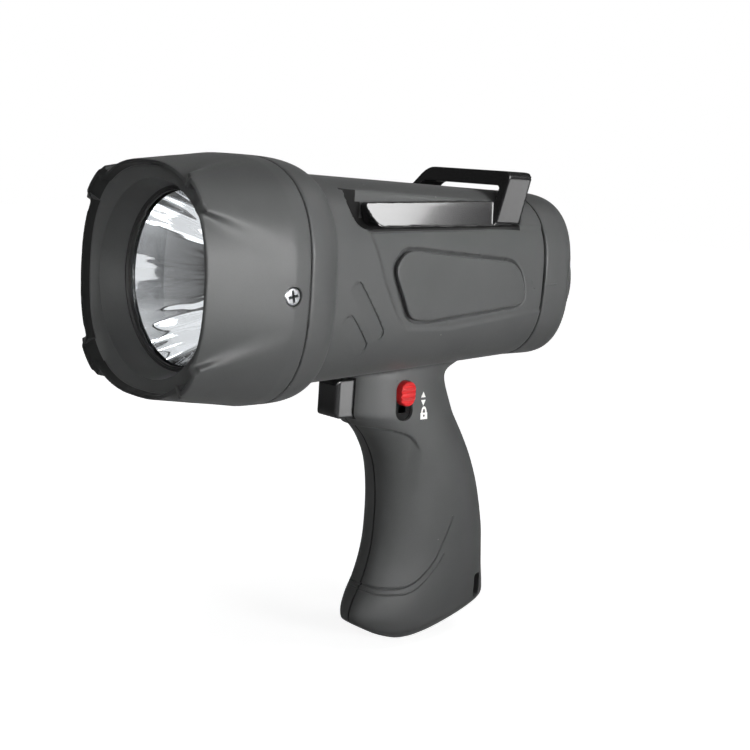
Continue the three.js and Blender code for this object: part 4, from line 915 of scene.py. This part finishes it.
cut(shells, room, collar_room, mouth, trigger_room, foot_room, pocket)
cut(shells, block(5.3, WIDE, -73.5, -69.9, -44.6, -35.6))
for y, z, seat_depth in body_screws:
    well = rod(SCREW_WELL, (-WIDE, y, z), (-seat_depth, y, z))
    cut(shells, well, rod(SCREW_HOLE, (-20, y, z), (6, y, z)))
for side in (1, -1):
    cut(shells, rod(PIN_HOLE, (side * 15.1, *PIN), (side * 23, *PIN)))
tell("hollow body", shells)

# %% [markdown]
# A double groove curls round the foot of the grip, and short marks at the tail show where
# the cap locks. Each is a thin bent rod laid in the surface and cut away. Then the body is
# parted along the middle, so the seam stays a crisp line.

# %% Grooves, marks and the joint of the halves
def grip_reach(y, z):
    """Half width of the grip at a place, read from its own table."""
    rows = flow(grip_rows, 4)
    low = next(i for i in range(len(rows) - 1) if rows[i + 1][0] <= z)
    t = (z - rows[low][0]) / (rows[low + 1][0] - rows[low][0])
    _, front, rear, width = (between(a, b, t) for a, b in zip(rows[low], rows[low + 1]))
    off = abs(y - (front + rear) / 2) / ((rear - front) / 2)
    return width * (1 - off**GRIP_POWER) ** (1 / GRIP_POWER)


def barrel_reach(y, z):
    t = (y - BARREL_FRONT) / (TAIL_SEAM - BARREL_FRONT)
    w, h = between(FRONT_W, REAR_W, t), between(FRONT_H, REAR_H, t)
    return w * (1 - abs((z - RISE * t) / h) ** BODY_POWER) ** (1 / BODY_POWER)


def bent_rod(points, radius, sides=10):
    rings = []
    for i, here in enumerate(points):
        here = Vector(here)
        following, previous = points[min(i + 1, len(points) - 1)], points[max(i - 1, 0)]
        ahead = (Vector(following) - Vector(previous)).normalized()
        side = ahead.cross(Vector((1, 0, 0))).normalized()
        out = side.cross(ahead)
        angles = (2 * pi * k / sides for k in range(sides))
        rings.append([here + radius * (cos(a) * side + sin(a) * out) for a in angles])
    return loft(rings)


upper_line = [
    (14.6, -45.6, -83.0), (14.7, -48.1, -88.5), (14.7, -50.6, -93.2), (14.5, -53.3, -98.0),
    (14.1, -57.0, -101.8), (13.4, -60.9, -104.8), (12.2, -64.9, -106.5), (10.3, -68.8, -107.1),
    (7.9, -71.8, -107.1), (4.8, -73.7, -107.1), (0.0, -74.5, -107.1),
]
lower_line = [
    (14.8, -48.8, -96.0), (14.7, -51.8, -100.0), (14.4, -55.7, -103.8), (13.8, -60.1, -107.2),
    (12.7, -64.7, -108.9), (10.8, -69.1, -109.2), (8.3, -72.4, -109.2), (5.4, -74.5, -109.0),
    (0.0, -75.6, -108.7),
]
for line, radius in ((upper_line, 0.58), (lower_line, 0.4)):
    for side in (1, -1):
        path = [(side * x, y, z) for x, y, z in flow(line, 5)]
        cut(shells, bent_rod(path, radius))
TICK = 0.34
tick = ((-30.2, 1.6), (-30.0, -0.6), (-28.4, -1.1))
tick = [(barrel_reach(y, z) - 0.35, y, z) for y, z in tick]
cut(shells, bent_rod(tick, TICK))
upper_edge = [
    (-113.6, 1.4), (-112.3, 2.0), (-110.9, 0.9), (-102.0, -10.6), (-99.9, -13.4),
    (-99.9, -15.0), (-100.9, -16.1),
]
lower_edge = [
    (-116.2, -8.5), (-114.6, -8.0), (-113.2, -9.2), (-107.0, -15.8), (-105.6, -17.6),
    (-105.8, -19.2), (-106.9, -20.2),
]
for side in (1, -1):
    for line in (upper_edge, lower_edge):
        path = [(side * (barrel_reach(y, z) - 0.25), y, z) for y, z in flow(line, 4)]
        cut(shells, bent_rod(path, 0.3))

# Behind the open joint line the left half has a tongue that keeps light out
JOINT_HALF = 0.15
tongue = join(loft(barrel_rings(0.9, HEAD_SEAM, TAIL_SEAM, 48)), crowned_grip(0.9))
trim(tongue, block(-0.14, 0.5, -175, 0, -140, WIDE))
for side, name in SIDES:
    share = work(block(side * JOINT_HALF, side * WIDE, -175, 0, -140, WIDE))
    if side == 1:
        join(share, tongue)
    half = trim(opened(shells), share)
    keep(half, f"body_half_{name}", body_paint, [f"shell_{name}"], sharp=32)
bpy.data.meshes.remove(shells.data)

# %% [markdown]
# The pads on the flanks are separate mouldings in the same paint. Each stands a little proud
# of the barrel and leaves a narrow shadow line round its edge.

# %% Side pads
inner_corners = [
    (-89.4, -9.7), (-82.7, -10.9), (-32.9, -6.2), (-36.4, 4.0), (-41.1, 8.0), (-92.3, 11.8),
    (-97.8, 6.1),
]
for side, name in SIDES:
    pad = trim(plate(rounded(inner_corners, 5.3), side * 15, side * WIDE), whole_barrel(-0.35))
    cut(pad, whole_barrel(1.0))
    round_off(pad, 0.26, 4)
    keep(pad, f"flank_pad_{name}", body_paint, [f"side_pad_{name}"])

# %% [markdown]
# The tail cap is lofted from its flat end to the seam. Inside it has the tube that twists
# into the body and the post that holds the spring.

# %% Tail cap
CAP_FRONT, CAP_WALL = -23.5, 2.4
cap_rows = [
    (0, 17.5, 23.5, 2.47, 0), (-0.7, 18.75, 25.3, 2.49, 0.54), (-2.2, 20.6, 26.8, 2.53, 1.0),
    (-5, 23.65, 28.3, 2.6, 1.48), (-10, 28.2, 29.2, BODY_POWER, 1.75),
    (-16, 28.75, 29.35, BODY_POWER, RISE), (CAP_FRONT, REAR_W, REAR_H, BODY_POWER, RISE),
]


def cap_rings(inset):
    rows = flow(cap_rows, 6)
    return [oval(y, w - inset, h - inset, power, rise) for y, w, h, power, rise in rows]


cap = work(loft(cap_rings(0)))
round_off(cap, 0.45, 4)
trim(cap, block(*ACROSS, CAP_FRONT, 0.5, *ACROSS))
tick = [(29.0, -23.9, 0.3), (28.95, -20.5, 0.2), (28.9, -17.0, 0.3)]
cut(cap, bent_rod(tick, TICK))
inside = loft(cap_rings(CAP_WALL) + [oval(-26, 26.5, 27, BODY_POWER, RISE)])
cut(cap, trim(inside, block(*ACROSS, -30, -CAP_WALL, *ACROSS)))
tube = turned([
    (20.8, -2.38), (20.8, -34), (23, -34), (23, -27.5), (21.4, -27.5), (21.4, -25.1),
    (23, -25.1), (23, -2.38),
])
tube_bore = turned([(0, -36), (21.9, -36), (21.9, -20), (0, -20)])
bayonet = cut(block(-4, 4, -33.5, -31.7, -24.8, 24.8), tube_bore)
join(cap, tube, rod(6, (0, -17.4, 0), (0, -2.38, 0)), bayonet)
keep(cap, "twist_cap", body_paint, ["tail_cap"], "cap")

# %% [markdown]
# The carrying bracket is one glossy moulding: two arms that lie in the shoulders of the
# barrel, two legs that lean in and back, and a flat bar across the top. It is built from a
# side view and a front view, then its edges are eased.

# %% Bracket
# Half width and height of the top bar, and of the arms at their lower edge
BAR_HALF, BAR_TOP, ARM_HALF, ARM_LOW = 20.2, 38.1, 27.8, 18.2
BAR_THICK, LEG_THICK = 5, 3.2
LEAN = (ARM_HALF - BAR_HALF) / (BAR_TOP - ARM_LOW)
foot_z = ARM_LOW - 10
foot_x = BAR_HALF + LEAN * (BAR_TOP - foot_z)
inside_w = LEG_THICK * sqrt(1 + LEAN**2)
outer = [(foot_x, foot_z), (BAR_HALF, BAR_TOP), (-BAR_HALF, BAR_TOP), (-foot_x, foot_z)]
top_x, top_z = BAR_HALF + LEAN * BAR_THICK - inside_w, BAR_TOP - BAR_THICK
low_x, low_z = foot_x - inside_w + LEAN * 3, foot_z - 3
inner = [(low_x, low_z), (top_x, top_z), (-top_x, top_z), (-low_x, low_z)]
arch = front_plate(rounded(outer, 3.4, 8), -108, 0)
arch = cut(arch, front_plate(rounded(inner, 1.7), -111, 3))
leg_side = [(-49.4, 20.6), (-37.2, 20.6), (-23.6, 39.1), (-35.4, 39.1)]
trim(arch, plate(leg_side, *ACROSS))
arm_section = [(ARM_HALF, foot_z), (ARM_HALF, ARM_LOW), (22.4, 25.6), (20.6, 28.0), (20.6, foot_z)]
arm_side = [
    (-104.8, 25.6), (-104.0, 21.0), (-101.6, ARM_LOW), (-40.4, 20.0), (-37.2, 22.2),
    (-37.2, 28), (-44.0, 28),
]
for side in (1, -1):
    arm = front_plate([(side * x, z) for x, z in arm_section], -108, 0)
    join(arch, trim(arm, plate(rounded(arm_side, 2.0), side * 5, side * WIDE)))
round_off(arch, 0.3, 4)
for side in (1, -1):
    cut(arch, rod(PIN_HOLE, (side * 17.6, *PIN), (side * 22.8, *PIN)))
keep(arch, "carry_bracket", gloss_plastic, ["bracket"], "bracket")

# %% [markdown]
# The trigger's finger pad is hollowed and has rounded edges. Behind it are the flange that
# keeps it in the grip and the tail, with a ring-shaped seat for its spring. The red slide
# beside it has four grooves for the thumb.

# %% Trigger and lock slide
PAD_LOW, PAD_TOP, FLANGE_FRONT, FLANGE_REAR = -46.2, -33.2, -84.8, -82.8
SPRING_Z = (PAD_LOW + PAD_TOP) / 2
pad_line = [(-95.6, PAD_TOP), (-95.1, SPRING_Z), (-95.5, PAD_LOW), (-83, PAD_LOW), (-83, PAD_TOP)]
seen_from_above = [(-95.6, -5), (-95.6, 5), (-80, 5), (-80, -5)]
upright = turn_round_y(plate(rounded(seen_from_above, 1.9, 10), *ACROSS), pi / 2)
finger = trim(plate(rounded(pad_line, 2.6, 8), -5, 5), upright)
join(finger, block(-5, 5, -90, -83, PAD_LOW, PAD_TOP))
shut(face_out(opened(finger)), finger)
round_off(finger, 0.22, 4)
trim(finger, block(*ACROSS, -110, FLANGE_FRONT, -WIDE, 0))
join(finger, block(-6, 6, FLANGE_FRONT, FLANGE_REAR, PAD_LOW, PAD_TOP))
join(finger, block(-4.9, 4.9, FLANGE_REAR - 0.02, -77.0, -44.2, -35.2))
spring_seat = rod(3.65, (0, -82.4, SPRING_Z), (0, -76.8, SPRING_Z), 32)
post = rod(2.35, (0, -83.0, SPRING_Z), (0, -76.0, SPRING_Z), 32)
cut(finger, cut(spring_seat, post))
keep(finger, "trigger_pad", trigger_plastic, ["trigger"], "trigger")

FACE_X = grip_reach(-71.7, -37.6)
print("half width of the grip at the slide:", round(FACE_X, 2), "mm")
SLIDE_LOW, SLIDE_TALL = -41.8, 8.4
slide_line = [(-75.0, SLIDE_LOW), (-68.4, SLIDE_LOW), (-68.4, -33.4), (-75.0, -33.4)]
slide = plate(slide_line, FACE_X - 0.8, FACE_X + 2.1, 3.0, 8)
outer_edge = [e for e in slide.edges if all(v.co.x > FACE_X + 2 for v in e.verts)]
round_edges(slide, outer_edge, 0.7, 4)
slide = work(slide)
for k in range(4):
    z = SLIDE_LOW + SLIDE_TALL / 5 * (k + 1)
    cut(slide, rod(0.58, (FACE_X + 2.2, -80, z), (FACE_X + 2.2, -60, z), 16))
join(slide, block(5.3, FACE_X - 0.7, -73.2, -70.2, -39.3, -35.9))
keep(slide, "lock_slide_button", red_plastic, ["lock_button"], "lock")

# %% [markdown]
# Beside the slide two small triangles and a padlock are printed in white. They are thin
# patches of ink that follow the grip, and they carry no wording.

# %% Printed marks
LOCK_Y, BOW_Z, HOLE_Z = -62.8, -44.9, -45.8


def ink(points):
    return cut(trim(plate(points, 8, 20), loft(grip_rings(-0.1))), loft(grip_rings(0.25)))


def arc(wide, high):
    angles = (i * pi / 10 for i in range(11))
    return [(LOCK_Y + wide * cos(a), BOW_Z + high * sin(a)) for a in angles]


up_mark = [(-64.3, -39.5), (-62.1, -39.5), (-63.2, -37.6)]
down_mark = [(-64.3, -40.4), (-63.2, -42.3), (-62.1, -40.4)]
lock_mark = [(-64.4, -47.0), (-61.2, -47.0), (-61.2, -44.8), (-64.4, -44.8)]
bow = cut(ink(arc(1.3, 2.3)), plate(arc(0.65, 1.5), 5, 25))
marks = join(ink(up_mark), ink(down_mark), ink(lock_mark), bow)
cut(marks, rod(0.45, (5, LOCK_Y, HOLE_Z), (25, LOCK_Y, HOLE_Z), 20))
keep(marks, "printed_marks", white_plastic, [])

# %% [markdown]
# The optics are all turned round the beam. The reflector is a paraboloid with the light
# source at its focus, drawn with many steps, because a mirror shows every facet.

# %% Optics
FOCUS, REFLECTOR_BACK, NECK, BOWL_LIP = 5.5, -123.35, 4.4, -151.8
LENS_RADIUS = 28.6


def bowl(radius):
    return REFLECTOR_BACK - (radius**2 - NECK**2) / (4 * FOCUS)


def spaced(start, end, count):
    return [between(start, end, i / count) for i in range(count + 1)]


front_side = [(r, bowl(r)) for r in spaced(26, NECK, 40)]
rear_side = [(r + 0.8, max(bowl(r), BOWL_LIP)) for r in spaced(NECK, 25.4, 20)]
rim_lip = [(26.8, BOWL_LIP), (LENS_RADIUS, BOWL_LIP), (LENS_RADIUS, -153.2), (26.4, -153.2)]
reflector = turned(front_side + rear_side + rim_lip, 160)
keep(reflector, "reflector_bowl", mirror_coat, ["reflector"], sharp=40)

lens_line = [
    (0, -155.5), (28.2, -155.5), (LENS_RADIUS, -155.1), (LENS_RADIUS, -153.9), (28.2, -153.5),
    (0, -153.5),
]
keep(turned(lens_line), "lens_disc", lens_clear, ["lens"])

gasket_line = [
    (26.1, -156.8), (26.6, -156.8), (26.9, -156.55), (27.2, -156.8), (28.4, -156.8),
    (LENS_RADIUS, -156.6), (LENS_RADIUS, -155.8), (26.1, -155.8),
]
keep(turned(gasket_line), "sealing_gasket", rubber, ["lens_gasket"])

DOME_BASE, DOME_TALL = -124.25, 3.3
dome = [(0, REFLECTOR_BACK), (3.4, REFLECTOR_BACK), (3.4, DOME_BASE)]
for angle in (i * pi / 24 for i in range(12)):
    dome.append((2.6 * cos(angle), DOME_BASE - DOME_TALL * sin(angle)))
dome = turned(dome + [(0, DOME_BASE - DOME_TALL)], 48)
keep(dome, "light_source", phosphor, ["led_emitter"])

# %% [markdown]
# The screws have domed pan heads with a cross recess. The head screws are the only ones
# seen in the picture, so the rest share the same shape.

# %% Screws
def fit_screw(name, node_name, x, y, z, side, length):
    profile = [
        (0, 1.62), (1.6, 1.6), (2.3, 1.5), (2.68, 1.15), (2.78, 0.5), (2.78, 0), (1.25, 0),
        (1.25, -length + 1), (0.2, -length), (0, -length),
    ]
    screw = work(turned(profile, 40))
    long, narrow = (-1.75, 1.75), (-0.42, 0.42)
    for wide, high in ((long, narrow), (narrow, long)):
        cut(screw, block(*wide, -1.2, 3, *high))
    turn_in = Matrix.Rotation(radians(-90 * side), 4, "Z") @ Matrix.Rotation(radians(12), 4, "Y")
    screw.data.transform(Matrix.Translation((x, y, z)) @ turn_in)
    keep(screw, name, plated_steel, [node_name], sharp=30)


for side, name in SIDES:
    place = (side * 36.4, *HEAD_SCREW, side)
    fit_screw(f"head_screw_fine_{name}", f"head_screw_{name}", *place, 7.4)
for i, (y, z, seat_depth) in enumerate(body_screws, 1):
    fit_screw(f"body_screw_fine_{i}", f"shell_screw_{i}", -seat_depth, y, z, -1, 15)

# %% [markdown]
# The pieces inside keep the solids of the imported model, with a finish for each: sleeved
# cells, brass contacts, boards, the heat sink and the switch.

# %% Finishes of the inner pieces
inner_finish = (
    (gloss_plastic, "lens_retainer"), (white_board, "led_board"), (cast_metal, "heat_sink"),
    (green_board, "driver_board"), (rubber, "tail_seal"), (white_plastic, "switch_plunger"),
    (switch_plastic, "battery_carrier", "switch_body", "lock_foot"),
    (sleeve_plastic, "battery_1", "battery_2", "battery_3", "battery_4"),
    (pressed_brass, "front_contact_pos", "front_contact_neg"),
    (plated_steel, "tail_spring", "trigger_spring", "bracket_pin_left", "bracket_pin_right"),
)
for material, *names in inner_finish:
    for node_name in names:
        coat(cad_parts[node_name], material)
    print(material.name, "on", *names)

# %% [markdown]
# A catalogue picture has a white sweep, which is dimmed a little below the object. To the
# camera the surroundings are white, and mirrors see one large soft box near the camera.

# %% Floor and world
def plainly_seen(tree):
    """1 for what the camera sees, straight or through the lens; the kinds of ray come along."""
    rays = add(tree, "LightPath").outputs
    return calc(tree, "MAXIMUM", rays["Is Camera Ray"], rays["Is Transmission Ray"]), rays


floor_bm = bmesh.new()
bmesh.ops.create_grid(floor_bm, x_segments=1, y_segments=1, size=3.0)
bmesh.ops.translate(floor_bm, verts=floor_bm.verts, vec=(0, 0, cad_box[0][2] - 0.001))
floor = work(floor_bm)
floor.name = floor.data.name = "floor"

paper, tree = blank("White paper sweep")
seen, rays = plainly_seen(tree)
where = add(tree, "NewGeometry").outputs["Position"]
gap = vector(tree, "DISTANCE", where, (0.0, -0.06, -0.13))["Value"]
surface(tree, {
    "Base Color": linear("#c4c4c4"), "Roughness": 0.9, "Specular IOR Level": 0.0,
    "Emission Color": (1, 1, 1, 1),
    "Emission Strength": calc(tree, "MULTIPLY", seen, ramp(tree, gap, 0.05, 0.25, 0.86, 1.0)),
})
floor.data.materials.append(paper)

BOX_BEARING, BOX_GLOW, ROOM_GLOW = radians(40), 3.0, 0.06
scene.world, tree = blank("studio", bpy.data.worlds)
seen, rays = plainly_seen(tree)
way = add(tree, "TexCoord").outputs["Generated"]
turned_to = vector(tree, "DOT_PRODUCT", way, (sin(BOX_BEARING), -cos(BOX_BEARING), 0.0))["Value"]
wide = ramp(tree, turned_to, 0.5, 0.6, 0.0, BOX_GLOW)
tall = calc(tree, "ABSOLUTE", xyz(tree, way)[2])
soft_box = calc(tree, "MULTIPLY", wide, ramp(tree, tall, 0.3, 0.36, 1.0, 0.0))
glow = calc(tree, "ADD", calc(tree, "MULTIPLY", rays["Is Glossy Ray"], soft_box), ROOM_GLOW)
dim, white = (
    add(tree, "Background", {"Color": (1, 1, 1, 1), "Strength": strength}).outputs[0]
    for strength in (glow, 1.0)
)
sky = add(tree, "MixShader", {0: seen, 1: dim, 2: white})
add(tree, "OutputWorld", {"Surface": sky.outputs[0]})
print("floor at", round(cad_box[0][2] - 0.001, 4), "m")

# %% [markdown]
# The main lamp is a soft panel to the right of the camera, with a grid that keeps it off the
# grip. Small ones draw the gloss of the bracket's arm, its leg and the trigger, and a weak one
# lifts the rim from the front.

# %% Lamps
def panel(name, azimuth, elevation, distance, size, power, aim=TARGET, spread=180):
    """Soft lamp at a bearing in degrees, aimed at a place; a grid narrows its spread."""
    az, el = radians(azimuth), radians(elevation)
    way = Vector((sin(az) * cos(el), -cos(az) * cos(el), sin(el)))
    data = bpy.data.lights.new(name, "AREA")
    data.shape, data.size, data.size_y, data.energy = "RECTANGLE", size[0], size[1], power
    data.spread = radians(spread)
    lamp = bpy.data.objects.new(name, data)
    spin = way.to_track_quat("Z", "Y").to_matrix().to_4x4()
    lamp.matrix_world = Matrix.Translation(aim + way * distance) @ spin
    scene.collection.objects.link(lamp)


panel("main panel", 100, 5, 0.8, (0.4, 0.3), 0.5, Vector((0, -0.085, 0.05)), 32)
panel("rim panel", 58, 6, 0.8, (0.2, 0.2), 0.085, Vector((0, -0.165, 0.01)), 22)
panel("arm panel", 153.5, 50, 0.9, (0.2, 0.18), 1.05)
panel("leg panel", 147, 29, 0.9, (0.16, 0.16), 0.2)
panel("low panel", 133, -9, 0.3, (0.09, 0.05), 0.055, Vector((0, -0.09, -0.035)))
panel("front panel", 12, 20, 1.2, (0.7, 0.7), 1.8)
scene.view_settings.view_transform = "Standard"
print("lamps placed")
